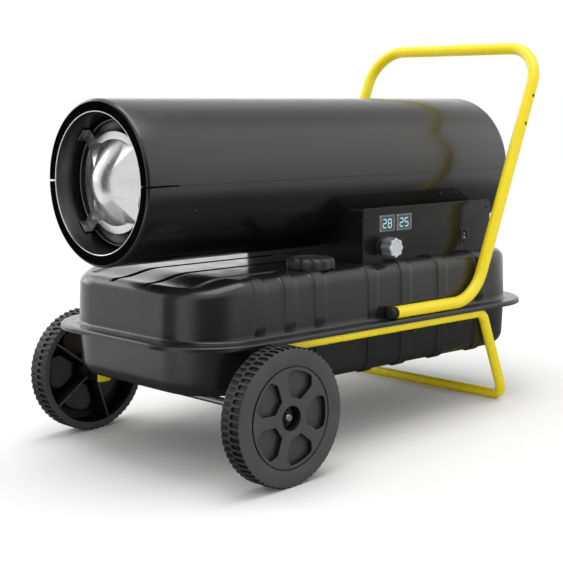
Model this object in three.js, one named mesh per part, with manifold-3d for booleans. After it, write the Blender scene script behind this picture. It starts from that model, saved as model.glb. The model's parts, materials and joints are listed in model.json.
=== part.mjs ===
// Forced air heater: a round barrel with a burner and a fan, on a fuel tank with two wheels,
// a push handle and a rear stand. Millimetres, +Z up. X runs across, Y runs from the hot
// outlet (-Y) to the fan end (+Y). Everything is drawn level, then leaned back onto its stand.
import * as THREE from 'three';
import { mergeVertices } from 'three/addons/utils/BufferGeometryUtils.js';
import Module from 'manifold-3d';

const wasm = await Module();
wasm.setup();

// ---- clearances ----
const SEAT_GAP = 0.3;          // between pieces that rest on or bolt to each other
const TURN_GAP = 0.5;          // between a turning piece and what carries it
const SWING_GAP = 3;           // between a sweeping piece and what stays still

// ---- sides of the faceted round forms ----
const LARGE_ROUND = 32;
const MEDIUM_ROUND = 20;
const SMALL_ROUND = 14;
const TINY_ROUND = 8;
const WHEEL_SIDES = 28;
const TUBE_SIDES = 9;

// ---- wheels and axle ----
const WHEEL_RADIUS = 100;
const WHEEL_WIDTH = 38;
const WHEEL_CLEARANCE = 15.4;  // between the tank's flange and a wheel
const AXLE_RADIUS = 6;
const HUB_RADIUS = 17.4;
const WASHER_RADIUS = 13;
const WASHER_THICKNESS = 2;
const SPLIT_PIN_RADIUS = 1.5;
const WHEEL_POCKETS = 5;
const HUB_DEPTH = 14;          // recess round the axle's end in the outer face
const POCKET_DEPTH = 10;

// ---- fuel tank ----
const TANK_HALF_WIDTH = 178.5;
const TANK_FRONT_Y = -98;
const TANK_REAR_Y = 638;
const TANK_CORNER_RADIUS = 95;
const TANK_TOP_Z = 285.5;
const TANK_BOTTOM_Z = 119;
const TANK_WALL = 2;
const TANK_EDGE_RADIUS = 18;   // rounding between the side walls and the top or bottom
const TANK_SHELF_DROP = 9;     // the top is this much lower under the hot outlet
const SHELF_RAMP_START_Y = -30;
const SHELF_RAMP_END_Y = -60;
const FLANGE_TOP_Z = 200;
const FLANGE_SHEET = 1.6;
const FLANGE_OVERHANG_ENDS = 28;
const FLANGE_LIP = 2.5;        // thickness of the turned-down edge
const FLANGE_LIP_DEPTH = 7.5;
const RIB_HEIGHT = 2.5;
const RIB_WIDTH = 22;
const RIB_STATIONS = [9, 68, 129, 244, 321, 410, 508];
const RIB_REACH = 24;          // how far a rib runs in over the top
const GROOVE_RADIUS = 7.5;
const GROOVE_RISE = 4.7;       // the groove's centre line above the tank's top
const GROOVE_SPACING = 78;

// ---- filler, cap, pickup, drain ----
const FILLER_X = 130;
const FILLER_Y = 158;
const NECK_RADIUS = 27;
const NECK_WALL = 2;
const NECK_HEIGHT = 11;
const CAP_RADIUS = 37;
const CAP_CLEARANCE = 3.5;     // the cap's skirt clears the tank's ribs as it turns
const CAP_HEIGHT = 14;
const CAP_LOBES = 12;
const STRAINER_DEPTH = 62;
const PICKUP_X = 40;
const PICKUP_Y = 276;
const DRAIN_X = -110;
const DRAIN_Y = -20;

// ---- stand and handle ----
const STAND_TUBE_RADIUS = 8.5;
const STAND_TUBE_WALL = 1.5;
const STAND_BEND_Y = 505;
const STAND_FOOT_Y = 567;
const STAND_FOOT_Z = 36;
const STAND_BEND_RADIUS = 22;
const FOOT_FLAT = 0.5;         // depth of the flat the foot bar rests on
const HANDLE_TUBE_RADIUS = 10;
const HANDLE_TUBE_WALL = 1.5;
const HANDLE_FRONT_Y = 285;
const HANDLE_BEND_Y = 480.7;
const HANDLE_TOP_Y = 652.5;
const HANDLE_TOP_Z = 627.6;
const HANDLE_LOWER_BEND = 75;
const HANDLE_UPPER_BEND = 65;
const HANDLE_PLUG_LENGTH = 20;
const FRAME_BOLT_RADIUS = 3;
const FRAME_BOLT_STATIONS = [330, 440];

// ---- barrel ----
const BARREL_RADIUS = 120.7;
const BARREL_WALL = 1.5;
const BARREL_FRONT_Y = -144;
const BARREL_LENGTH = 797;
const BARREL_AXIS_Z = 421.3;
const LIP_FACE_WIDTH = 16.5;   // flat ring round the outlet
const LIP_ROUNDING = 7;
const SEAM_GAP = 3;            // slot between the two half shells
const SEAM_LAP = 9;            // height of the lower shell's lap inside the upper one
const SEAM_SLOT_LENGTH = 55;   // open slot in front of the lap

// ---- outlet: depths are measured back from the barrel's front rim ----
const SHIELD_TAPER = 7.2;      // how much the shield narrows from the lip to its throat
const SHIELD_THROAT_DEPTH = 30;
const SHIELD_LENGTH = 105;
const CHAMBER_AIR_GAP = 5;     // between the shield's throat and the chamber
const CHAMBER_LIP_WIDTH = 17;  // the chamber's front plate, from its wall to its mouth
const CHAMBER_FRONT_DEPTH = 37;
const CHAMBER_LENGTH = 300;
const CHAMBER_WALL = 1.2;
const SPIDER_DEPTH = 33.5;
const SPIDER_ARM = 22;         // width of the four arms
const SPIDER_FOOT = 13;        // how far each arm's foot runs forward along the shield
const SPIDER_INSET = 1;        // the spider's hoop inside the chamber's mouth
const SPIDER_SHEET = 2;
const HOOP_WIDTH = 16;
const DIFFUSER_INSET = 11.5;   // the diffuser's round lobes inside the hoop's outer edge
const DIFFUSER_HEIGHT = 27.5;

// ---- fan, motor and air pump: depths from the front rim ----
const FAN_DEPTH = 448;
const FAN_HEIGHT = 34;
const FAN_BLADES = 5;
const FAN_HUB_RADIUS = 22;
const SHAFT_RADIUS = 5;
const MOTOR_DEPTH = 500;
const MOTOR_RADIUS = 52;
const MOTOR_LENGTH = 105;
const PUMP_RADIUS = 38;
const PUMP_LENGTH = 24;
const PUMP_ROTOR_RADIUS = 24;
const FILTER_RADIUS = 33;
const GUARD_WIRE = 2;
const GUARD_RINGS = 3;
const GUARD_DOME = 12;

// ---- control box ----
const BOX_FRONT_Y = 252;
const BOX_REAR_Y = 570;
const BOX_LEFT_X = -120;
const PANEL_X = 150;
const BOX_TOP_Z = 371.5;
const BOX_SHEET = 1.5;
const PANEL_CORNER = 9;
const PANEL_RETURN = 7;        // depth of the panel's turned edge
const KNOB_Y = 293;
const KNOB_Z = 311;
const KNOB_RADIUS = 16;
const KNOB_LOBES = 8;
const DISPLAY_WIDTH = 37.5;
const DISPLAY_HEIGHT = 27;
const DISPLAY_STATIONS = [308.8, 348.8];
const DISPLAY_Z = 346.2;
const SWITCH_Y = 500;
const SWITCH_Z = 314;
const SWITCH_WIDTH = 17;
const SWITCH_HEIGHT = 22;

// ---- sizes that follow from the ones above ----
const RAIL_X = TANK_HALF_WIDTH + 2 * SEAT_GAP + STAND_TUBE_RADIUS;
const FLANGE_HALF_WIDTH = RAIL_X + STAND_TUBE_RADIUS + SEAT_GAP + FLANGE_LIP;
const FLANGE_BOTTOM_Z = FLANGE_TOP_Z - 2 * FLANGE_SHEET - SEAT_GAP;
const RAIL_Z = FLANGE_BOTTOM_Z - SEAT_GAP - STAND_TUBE_RADIUS;
const HANDLE_X = TANK_HALF_WIDTH + 2 * SEAT_GAP + HANDLE_TUBE_RADIUS;
const HANDLE_LOW_Z = FLANGE_TOP_Z + SEAT_GAP + HANDLE_TUBE_RADIUS;
const WHEEL_CENTRE_X = FLANGE_HALF_WIDTH + WHEEL_CLEARANCE + WHEEL_WIDTH / 2;
const WHEEL_INNER_X = WHEEL_CENTRE_X - WHEEL_WIDTH / 2;
const WHEEL_OUTER_X = WHEEL_CENTRE_X + WHEEL_WIDTH / 2;
const LEG_HALF_THICKNESS = 2.6;
const LEG_TOP_Z = WHEEL_RADIUS + 30;
const SHELL_INNER_RADIUS = BARREL_RADIUS - BARREL_WALL;
const LIP_INNER_RADIUS = BARREL_RADIUS - LIP_FACE_WIDTH;
const SHIELD_THROAT_RADIUS = LIP_INNER_RADIUS - SHIELD_TAPER;
const CHAMBER_RADIUS = SHIELD_THROAT_RADIUS - CHAMBER_AIR_GAP;
const CHAMBER_MOUTH_RADIUS = CHAMBER_RADIUS - CHAMBER_LIP_WIDTH;
const SPIDER_RADIUS = CHAMBER_MOUTH_RADIUS - SPIDER_INSET;
const DIFFUSER_RADIUS = SPIDER_RADIUS - DIFFUSER_INSET;
const NECK_TOP_Z = TANK_TOP_Z + NECK_HEIGHT;
const CAP_TOP_Z = TANK_TOP_Z + CAP_CLEARANCE + CAP_HEIGHT;
const SHAFT_END_DEPTH = MOTOR_DEPTH + MOTOR_LENGTH + PUMP_LENGTH + 6;

// ---- finishes ----
function finish(colour, roughness, metalness) {
  return new THREE.MeshStandardMaterial({ color: colour, roughness, metalness });
}

const glossBlack = finish(0x101010, 0.2, 0.3);
const satinBlack = finish(0x1a1a1b, 0.4, 0.1);
const blackPlastic = finish(0x262628, 0.6, 0);
const wheelPlastic = finish(0x3c3d40, 0.7, 0);
const yellowPaint = finish(0xf7df12, 0.35, 0.1);
const brightSteel = finish(0xc9cbcd, 0.25, 0.9);
const zincSteel = finish(0xaeb2b4, 0.4, 0.8);
const hotSteel = finish(0x8e9092, 0.35, 0.9);
const capPlastic = finish(0x55575a, 0.5, 0);
const silverPlastic = finish(0xc4c5c6, 0.35, 0.4);
const castAlloy = finish(0xa7a9ab, 0.5, 0.8);
const brass = finish(0xb99a4c, 0.35, 0.9);
const ceramic = finish(0xe6e1d6, 0.5, 0);
const boardGreen = finish(0x1f5a36, 0.5, 0);
const displayGrey = finish(0x8f9396, 0.3, 0);
const rubberBlack = finish(0x161616, 0.8, 0);

// ---- solids ----

// A closed three.js geometry as a solid with shared corners and faces pointing out.
function solid(geometry) {
  const bare = geometry.clone();
  bare.deleteAttribute('normal');
  bare.deleteAttribute('uv');
  const merged = mergeVertices(bare, 1e-3);
  const points = merged.attributes.position.array;
  const corners = merged.index.array;
  const faces = [];
  let volume = 0;
  for (let i = 0; i < corners.length; i += 3) {
    const [a, b, c] = [corners[i], corners[i + 1], corners[i + 2]];
    if (a === b || b === c || c === a) continue;
    faces.push([a, b, c]);
    const [va, vb, vc] = [a, b, c].map((k) => new THREE.Vector3().fromArray(points, 3 * k));
    volume += va.dot(vb.cross(vc));
  }
  const outward = volume > 0 ? faces : faces.map(([a, b, c]) => [a, c, b]);
  return new wasm.Manifold(new wasm.Mesh({
    numProp: 3,
    vertProperties: new Float32Array(points),
    triVerts: new Uint32Array(outward.flat()),
  }));
}

function geometryOf(shape) {
  const mesh = shape.getMesh();
  const geometry = new THREE.BufferGeometry();
  geometry.setAttribute('position', new THREE.BufferAttribute(mesh.vertProperties, 3));
  geometry.setIndex(new THREE.BufferAttribute(mesh.triVerts, 1));
  const flat = geometry.toNonIndexed();
  flat.computeVertexNormals();
  return flat;
}

function joined(shapes) {
  return shapes.reduce((sum, shape) => sum.add(shape));
}

function cut(shape, cutters) {
  return cutters.reduce((rest, cutter) => rest.subtract(cutter), shape);
}

function block(x0, x1, y0, y1, z0, z1) {
  const box = new THREE.BoxGeometry(x1 - x0, y1 - y0, z1 - z0);
  box.translate((x0 + x1) / 2, (y0 + y1) / 2, (z0 + z1) / 2);
  return solid(box);
}

// Turns a geometry drawn about the Y axis so that its axis lies along X, Y or Z.
function alongAxis(geometry, axis) {
  if (axis === 'x') geometry.rotateZ(-Math.PI / 2);
  if (axis === 'z') geometry.rotateX(Math.PI / 2);
  return geometry;
}

// A revolved profile of [radius, position along the axis] points. A profile that doesn't
// start and end on the axis is closed on itself.
function revolved(profile, segments, axis = 'y', centre = [0, 0, 0]) {
  const points = profile.map(([r, along]) => new THREE.Vector2(r, along));
  const onAxis = profile[0][0] === 0 && profile[profile.length - 1][0] === 0;
  if (!onAxis) points.push(points[0].clone());
  const lathe = alongAxis(new THREE.LatheGeometry(points, segments), axis);
  lathe.translate(...centre);
  return solid(lathe);
}

function rod(radius, from, to, segments, axis = 'y', centre = [0, 0, 0]) {
  return revolved([[0, from], [radius, from], [radius, to], [0, to]], segments, axis, centre);
}

function ring(inner, outer, from, to, segments, axis = 'y', centre = [0, 0, 0]) {
  const profile = [[inner, from], [outer, from], [outer, to], [inner, to]];
  return revolved(profile, segments, axis, centre);
}

// An outline in the plane across an axis, extruded from one position to another along it.
// Its first coordinate runs along Y for the X axis, and along X for the others.
function extruded(shape, axis, from, to, curveSegments = 6) {
  const geometry = new THREE.ExtrudeGeometry(shape, {
    depth: to - from, bevelEnabled: false, curveSegments,
  });
  const [x, y, z] = [[1, 0, 0], [0, 1, 0], [0, 0, 1]].map((v) => new THREE.Vector3(...v));
  if (axis === 'x') geometry.applyMatrix4(new THREE.Matrix4().makeBasis(y, z, x));
  if (axis === 'y') geometry.applyMatrix4(new THREE.Matrix4().makeBasis(x, z, y.clone().negate()));
  if (axis === 'x') geometry.translate(from, 0, 0);
  if (axis === 'y') geometry.translate(0, to, 0);
  if (axis === 'z') geometry.translate(0, 0, from);
  return solid(geometry);
}

function roundedRectangle(u0, u1, v0, v1, radius) {
  const shape = new THREE.Shape();
  shape.moveTo(u0 + radius, v0);
  shape.lineTo(u1 - radius, v0);
  shape.absarc(u1 - radius, v0 + radius, radius, -Math.PI / 2, 0);
  shape.lineTo(u1, v1 - radius);
  shape.absarc(u1 - radius, v1 - radius, radius, 0, Math.PI / 2);
  shape.lineTo(u0 + radius, v1);
  shape.absarc(u0 + radius, v1 - radius, radius, Math.PI / 2, Math.PI);
  shape.lineTo(u0, v0 + radius);
  shape.absarc(u0 + radius, v0 + radius, radius, Math.PI, 1.5 * Math.PI);
  return shape;
}

// A round outline whose edge waves in and out, as on a cap or a knob.
function lobedOutline(radius, lobes, depth, pointsPerLobe = 4) {
  const count = lobes * pointsPerLobe;
  const points = [];
  for (let i = 0; i < count; i += 1) {
    const angle = (2 * Math.PI * i) / count;
    const r = radius - (depth / 2) * (1 - Math.cos(lobes * angle));
    points.push(new THREE.Vector2(r * Math.cos(angle), r * Math.sin(angle)));
  }
  return new THREE.Shape(points);
}

// Rings of equally many points, joined in turn. Each ring's second half mirrors its first
// half across X, so the end faces are closed by strips that run straight across.
function lofted(rings) {
  const count = rings[0].length;
  const half = count / 2;
  const positions = rings.flat().flatMap((p) => p.toArray());
  const faces = [];
  for (let level = 0; level + 1 < rings.length; level += 1) {
    for (let i = 0; i < count; i += 1) {
      const a = level * count + i;
      const b = level * count + ((i + 1) % count);
      faces.push(a, b, b + count, a, b + count, a + count);
    }
  }
  const last = (rings.length - 1) * count;
  for (let i = 0; i + 1 < half; i += 1) {
    const [r0, r1, l1, l0] = [i, i + 1, count - 2 - i, count - 1 - i];
    faces.push(r0, l1, r1, r0, l0, l1);
    faces.push(last + r0, last + r1, last + l1, last + r0, last + l1, last + l0);
  }
  const geometry = new THREE.BufferGeometry();
  geometry.setAttribute('position', new THREE.Float32BufferAttribute(positions, 3));
  geometry.setIndex(faces);
  return solid(geometry);
}

// The centre line of a bent tube: straight runs between corners that are rounded to a bend
// radius. Each station carries one ring of the tube.
class BentLine extends THREE.Curve {
  constructor(corners, bendRadii, bendSteps) {
    super();
    const points = corners.map((corner) => new THREE.Vector3(...corner));
    this.stations = [points[0]];
    this.tangents = [points[1].clone().sub(points[0]).normalize()];
    for (let i = 1; i + 1 < points.length; i += 1) {
      this.addBend(points[i - 1], points[i], points[i + 1], bendRadii[i - 1], bendSteps);
    }
    const end = points[points.length - 1];
    this.stations.push(end);
    this.tangents.push(end.clone().sub(points[points.length - 2]).normalize());
  }

  addBend(before, corner, after, radius, steps) {
    const incoming = corner.clone().sub(before).normalize();
    const outgoing = after.clone().sub(corner).normalize();
    const turn = incoming.angleTo(outgoing);
    const trim = radius * Math.tan(turn / 2);
    const start = corner.clone().addScaledVector(incoming, -trim);
    const side = outgoing.clone().addScaledVector(incoming, -incoming.dot(outgoing)).normalize();
    for (let i = 0; i <= steps; i += 1) {
      const angle = (turn * i) / steps;
      const station = start.clone();
      station.addScaledVector(incoming, radius * Math.sin(angle));
      station.addScaledVector(side, radius * (1 - Math.cos(angle)));
      const tangent = incoming.clone().multiplyScalar(Math.cos(angle));
      tangent.addScaledVector(side, Math.sin(angle));
      this.stations.push(station);
      this.tangents.push(tangent);
    }
  }

  get steps() {
    return this.stations.length - 1;
  }

  getPoint(u, target = new THREE.Vector3()) {
    return target.copy(this.stations[Math.round(u * this.steps)]);
  }

  getPointAt(u, target) {
    return this.getPoint(u, target);
  }

  getTangentAt(u, target = new THREE.Vector3()) {
    return target.copy(this.tangents[Math.round(u * this.steps)]);
  }
}

function circleOutline(radius, sides) {
  const points = [];
  for (let i = 0; i < sides; i += 1) {
    const angle = (2 * Math.PI * (i + 0.5)) / sides;
    points.push(new THREE.Vector2(radius * Math.cos(angle), radius * Math.sin(angle)));
  }
  return new THREE.Shape(points);
}

function sweptTube(line, radius, sides, boreRadius = 0, boreSides = 6) {
  const outline = circleOutline(radius, sides);
  if (boreRadius > 0) outline.holes.push(circleOutline(boreRadius, boreSides));
  return solid(new THREE.ExtrudeGeometry(outline, { steps: line.steps, extrudePath: line }));
}

// ---- groups ----
const heater = new THREE.Group();
const leaned = new THREE.Group();
const level = new THREE.Group();
const barrel = new THREE.Group();
const filler = new THREE.Group();
heater.add(leaned);
leaned.add(level);
level.add(barrel, filler);
barrel.position.set(0, BARREL_FRONT_Y, BARREL_AXIS_Z);
filler.position.set(FILLER_X, FILLER_Y, 0);

function piece(name, shape, material, parent = level) {
  const mesh = new THREE.Mesh(geometryOf(shape), material);
  mesh.name = name;
  parent.add(mesh);
  return mesh;
}

// ---- wheels, axle and its small parts ----

// Wheel about the X axis, outer face towards +X.
function wheelShape() {
  const face = WHEEL_WIDTH / 2;
  const profile = [
    [AXLE_RADIUS + TURN_GAP, -face],
    [HUB_RADIUS, -face],
    [HUB_RADIUS + 1.5, -face + 20],
    [82, -face + 24],
    [87, -face],
    [WHEEL_RADIUS - 2, -face],
    [WHEEL_RADIUS, -face + 3],
    [WHEEL_RADIUS, face - 3],
    [97, face],
    [75, face],
    [74.5, face - 2],
    [72.5, face - 2],
    [72, face],
    [HUB_RADIUS, face],
    [HUB_RADIUS - 1, face - HUB_DEPTH],
    [AXLE_RADIUS + TURN_GAP, face - HUB_DEPTH],
  ];
  const body = revolved(profile, WHEEL_SIDES, 'x');
  const pocket = pocketShape(face - POCKET_DEPTH, face + 1);
  const spoke = block(-face + 1, -face + 25, -2.5, 2.5, HUB_RADIUS - 1, 85);
  const pockets = [];
  const spokes = [];
  for (let i = 0; i < WHEEL_POCKETS; i += 1) {
    const turn = (360 / WHEEL_POCKETS) * i - 90;
    pockets.push(pocket.rotate([turn, 0, 0]));
    spokes.push(spoke.rotate([turn + 180 / WHEEL_POCKETS, 0, 0]));
  }
  return cut(joined([body, ...spokes]), pockets);
}

// One window pressed into the wheel's outer face, wide at the rim and narrow at the hub.
function pocketShape(from, to) {
  const outline = new THREE.Shape();
  outline.moveTo(-10.5, 29);
  outline.lineTo(10.5, 29);
  outline.lineTo(25.3, 50);
  outline.lineTo(22, 64.5);
  outline.quadraticCurveTo(0, 71, -22, 64.5);
  outline.lineTo(-25.3, 50);
  outline.closePath();
  return extruded(outline, 'x', from, to, 3);
}

function makeRunningGear() {
  const right = piece('wheel_right', wheelShape(), wheelPlastic);
  right.position.set(WHEEL_CENTRE_X, 0, WHEEL_RADIUS);
  const left = piece('wheel_left', wheelShape(), wheelPlastic);
  left.position.set(-WHEEL_CENTRE_X, 0, WHEEL_RADIUS);
  left.rotation.z = Math.PI;
  right.rotation.x = leanAngle();
  left.rotation.x = leanAngle();
  const washerX = WHEEL_OUTER_X - HUB_DEPTH + SEAT_GAP;
  const pinX = washerX + WASHER_THICKNESS + SEAT_GAP + SPLIT_PIN_RADIUS;
  const tip = pinX + 6;
  const shank = revolved([
    [0, -tip], [AXLE_RADIUS - 1.5, -tip], [AXLE_RADIUS, 2 - tip],
    [AXLE_RADIUS, tip - 2], [AXLE_RADIUS - 1.5, tip], [0, tip],
  ], SMALL_ROUND, 'x');
  const pinHole = rod(SPLIT_PIN_RADIUS + SEAT_GAP, -10, 10, 6, 'z');
  const axle = cut(shank, [-1, 1].map((side) => pinHole.translate([side * pinX, 0, 0])));
  piece('axle', axle, zincSteel).position.z = WHEEL_RADIUS;
  for (const [side, word] of [[1, 'right'], [-1, 'left']]) {
    const turned = side > 0 ? 0 : Math.PI;
    const washer = ring(AXLE_RADIUS + SEAT_GAP, WASHER_RADIUS, 0, WASHER_THICKNESS, SMALL_ROUND, 'x');
    const washerMesh = piece(`axle_washer_${word}`, washer, zincSteel);
    washerMesh.position.set(side * washerX, 0, WHEEL_RADIUS);
    washerMesh.rotation.z = turned;
    const pinMesh = piece(`split_pin_${word}`, splitPinShape(), brightSteel);
    pinMesh.position.set(side * pinX, 0, WHEEL_RADIUS);
    const spacerFrom = RAIL_X + LEG_HALF_THICKNESS + SEAT_GAP;
    const spacerTo = WHEEL_INNER_X - TURN_GAP;
    const spacer = ring(AXLE_RADIUS + SEAT_GAP, AXLE_RADIUS + 3, spacerFrom, spacerTo,
      SMALL_ROUND, 'x');
    const spacerMesh = piece(`axle_spacer_${word}`, spacer, zincSteel);
    spacerMesh.position.z = WHEEL_RADIUS;
    spacerMesh.rotation.z = turned;
  }
}

// A split pin: an eye above the axle and a straight shank through it.
function splitPinShape() {
  const shank = rod(SPLIT_PIN_RADIUS, -10, 9, 6, 'z');
  const eye = ring(2, 2 + 2 * SPLIT_PIN_RADIUS, -SPLIT_PIN_RADIUS, SPLIT_PIN_RADIUS,
    TINY_ROUND, 'x');
  return shank.add(eye.translate([0, 0, 11]));
}

// ---- frame: stand and handle ----
function standLine() {
  const bend = STAND_BEND_RADIUS;
  return new BentLine([
    [-RAIL_X, 0, LEG_TOP_Z], [-RAIL_X, 0, RAIL_Z], [-RAIL_X, STAND_BEND_Y, RAIL_Z],
    [-RAIL_X, STAND_FOOT_Y, STAND_FOOT_Z], [RAIL_X, STAND_FOOT_Y, STAND_FOOT_Z],
    [RAIL_X, STAND_BEND_Y, RAIL_Z], [RAIL_X, 0, RAIL_Z], [RAIL_X, 0, LEG_TOP_Z],
  ], [bend + 12, bend, bend, bend, bend, bend + 12], 3);
}

function handleLine() {
  return new BentLine([
    [-HANDLE_X, HANDLE_FRONT_Y, HANDLE_LOW_Z], [-HANDLE_X, HANDLE_BEND_Y, HANDLE_LOW_Z],
    [-HANDLE_X, HANDLE_TOP_Y, HANDLE_TOP_Z], [HANDLE_X, HANDLE_TOP_Y, HANDLE_TOP_Z],
    [HANDLE_X, HANDLE_BEND_Y, HANDLE_LOW_Z], [HANDLE_X, HANDLE_FRONT_Y, HANDLE_LOW_Z],
  ], [HANDLE_LOWER_BEND, HANDLE_UPPER_BEND, HANDLE_UPPER_BEND, HANDLE_LOWER_BEND], 4);
}

function makeFrame() {
  const bore = STAND_TUBE_RADIUS - STAND_TUBE_WALL;
  const stand = sweptTube(standLine(), STAND_TUBE_RADIUS, TUBE_SIDES, bore, 5);
  const ends = [-1, 1].map((side) => flattenedEnd(LEG_TOP_Z).translate([side * RAIL_X, 0, 0]));
  const axleHole = rod(AXLE_RADIUS + SEAT_GAP, -300, 300, SMALL_ROUND, 'x', [0, 0, WHEEL_RADIUS]);
  const footCut = footPlane();
  piece('stand_frame', cut(joined([stand, ...ends]), [axleHole, footCut, ...boltHoles()]),
    yellowPaint);

  const handleBore = HANDLE_TUBE_RADIUS - HANDLE_TUBE_WALL;
  const handle = sweptTube(handleLine(), HANDLE_TUBE_RADIUS, TUBE_SIDES, handleBore);
  piece('handle_tube', cut(handle, boltHoles()), yellowPaint);

  for (const [side, word] of [[1, 'right'], [-1, 'left']]) {
    const plug = handlePlugShape(handleBore * Math.cos(Math.PI / 6) - SEAT_GAP);
    const plugMesh = piece(`handle_plug_${word}`, plug, rubberBlack);
    plugMesh.position.set(side * HANDLE_X, HANDLE_FRONT_Y, HANDLE_LOW_Z);
    FRAME_BOLT_STATIONS.forEach((station, index) => {
      const bolt = piece(`frame_bolt_${word}_${index + 1}`, frameBoltShape(), zincSteel);
      bolt.position.set(side * RAIL_X, station, RAIL_Z - STAND_TUBE_RADIUS - SEAT_GAP);
    });
  }
}

// The flattened tube end that hangs on the axle, drawn at X = 0.
function flattenedEnd(top) {
  const sections = [
    [top + 4, STAND_TUBE_RADIUS - 0.4, STAND_TUBE_RADIUS - 0.4], [top - 14, LEG_HALF_THICKNESS, 12.5],
    [WHEEL_RADIUS - 6, LEG_HALF_THICKNESS, 12.5], [WHEEL_RADIUS - 13, LEG_HALF_THICKNESS, 8],
    [WHEEL_RADIUS - 15, LEG_HALF_THICKNESS, 3],
  ];
  return lofted(sections.reverse().map(([z, halfX, halfY]) => {
    const right = [];
    for (let i = 0; i < 6; i += 1) {
      const angle = (Math.PI * (i + 0.5)) / 6;
      right.push(new THREE.Vector3(halfX * Math.sin(angle), -halfY * Math.cos(angle), z));
    }
    const left = right.map((p) => new THREE.Vector3(-p.x, p.y, p.z)).reverse();
    return [...right, ...left];
  }));
}

// The angle by which the level drawing leans back until the stand's foot meets the floor.
function leanAngle() {
  const drop = WHEEL_RADIUS - STAND_FOOT_Z;
  const reach = Math.hypot(STAND_FOOT_Y, drop);
  const foot = STAND_TUBE_RADIUS - FOOT_FLAT;
  return Math.asin((WHEEL_RADIUS - foot) / reach) - Math.atan2(drop, STAND_FOOT_Y);
}

// A slab below the floor, in the level drawing's frame: it cuts the foot bar's resting flat.
function footPlane() {
  const slab = block(-400, 400, 300, 900, -60, 0);
  const lowered = slab.translate([0, 0, -WHEEL_RADIUS]);
  const turned = lowered.rotate([THREE.MathUtils.radToDeg(leanAngle()), 0, 0]);
  return turned.translate([0, 0, WHEEL_RADIUS]);
}

function boltHoles() {
  const from = RAIL_Z - STAND_TUBE_RADIUS - 2;
  const to = HANDLE_LOW_Z;
  const holes = [];
  for (const x of [-RAIL_X, RAIL_X]) {
    for (const y of FRAME_BOLT_STATIONS) {
      holes.push(rod(FRAME_BOLT_RADIUS + SEAT_GAP, from, to, 6, 'z', [x, y, 0]));
    }
  }
  return holes;
}

function frameBoltShape() {
  const length = HANDLE_LOW_Z - RAIL_Z + STAND_TUBE_RADIUS - 4;
  const head = alongAxis(new THREE.CylinderGeometry(6, 6, 4, 6), 'z');
  head.translate(0, 0, -2);
  return solid(head).add(rod(FRAME_BOLT_RADIUS, -1, length, 6, 'z'));
}

function handlePlugShape(stemRadius) {
  return revolved([
    [0, -HANDLE_PLUG_LENGTH], [5, -HANDLE_PLUG_LENGTH], [7.6, 2 - HANDLE_PLUG_LENGTH],
    [HANDLE_TUBE_RADIUS - 0.6, -SEAT_GAP - 1], [HANDLE_TUBE_RADIUS - 0.6, -SEAT_GAP],
    [stemRadius, -SEAT_GAP], [stemRadius, 18], [0, 18],
  ], TINY_ROUND, 'y');
}

// ---- fuel tank ----

// How far the tank's top is lowered at a place along it: a shelf under the hot outlet.
function shelfDrop(y) {
  const share = (SHELF_RAMP_START_Y - y) / (SHELF_RAMP_START_Y - SHELF_RAMP_END_Y);
  return TANK_SHELF_DROP * THREE.MathUtils.smoothstep(share, 0, 1);
}

// The tank's outline, grown by a margin, at one height. Its points mirror across X.
function tankRing(margin, z, dropShare = 0) {
  const steps = 4;
  const radius = TANK_CORNER_RADIUS;
  const right = [];
  const corner = (centreY, fromAngle) => {
    for (let i = 0; i <= steps; i += 1) {
      const angle = fromAngle + (Math.PI / 2) * (i / steps);
      const x = TANK_HALF_WIDTH - radius + (radius + margin) * Math.cos(angle);
      const y = centreY + (radius + margin) * Math.sin(angle);
      right.push(new THREE.Vector3(x, y, z - dropShare * shelfDrop(y)));
    }
  };
  corner(TANK_FRONT_Y + radius, -Math.PI / 2);
  corner(TANK_REAR_Y - radius, 0);
  const left = right.map((p) => new THREE.Vector3(-p.x, p.y, p.z)).reverse();
  return [...right, ...left];
}

// The body of one tank half from the flange to its end face, with a rounded edge.
// direction is +1 for the upper half and -1 for the lower one.
function tankBody(direction, flangeZ, endZ, margin, wall = 0) {
  const edge = TANK_EDGE_RADIUS;
  const end = endZ - direction * wall;
  const rings = [tankRing(margin, flangeZ), tankRing(margin - 2, end - direction * edge, 0.3)];
  for (let i = 1; i <= 2; i += 1) {
    const angle = (Math.PI / 2) * (i / 2);
    const inset = edge * (1 - Math.cos(angle));
    const rise = edge * (1 - Math.sin(angle));
    rings.push(tankRing(margin - 2 - inset, end - direction * rise, direction > 0 ? 1 : 0));
  }
  if (direction < 0) rings[1] = tankRing(margin - 2, end + edge);
  return lofted(direction > 0 ? rings : rings.reverse());
}

// Raised ribs over the side walls, cut from a slightly larger body.
function tankRibs(direction, flangeZ, endZ) {
  const grown = tankBody(direction, flangeZ, endZ + direction * 1.2, RIB_HEIGHT);
  const [low, high] = [Math.min(flangeZ, endZ) - 5, Math.max(flangeZ, endZ) + 5];
  const inner = TANK_HALF_WIDTH - RIB_REACH;
  const outer = TANK_HALF_WIDTH + 10;
  const bands = RIB_STATIONS.flatMap((y) => [
    block(inner, outer, y - RIB_WIDTH / 2, y + RIB_WIDTH / 2, low, high),
    block(-outer, -inner, y - RIB_WIDTH / 2, y + RIB_WIDTH / 2, low, high),
  ]);
  return grown.intersect(joined(bands));
}

// The flat flange round the tank, between two heights, with the tank's corner centres.
function flangePlate(overhangSide, overhangEnds, z0, z1) {
  const radius = TANK_CORNER_RADIUS + overhangSide - 5;
  const outline = roundedRectangle(
    -TANK_HALF_WIDTH - overhangSide, TANK_HALF_WIDTH + overhangSide,
    TANK_FRONT_Y - overhangEnds, TANK_REAR_Y + overhangEnds, radius,
  );
  return extruded(outline, 'z', z0, z1, 4);
}

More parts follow.
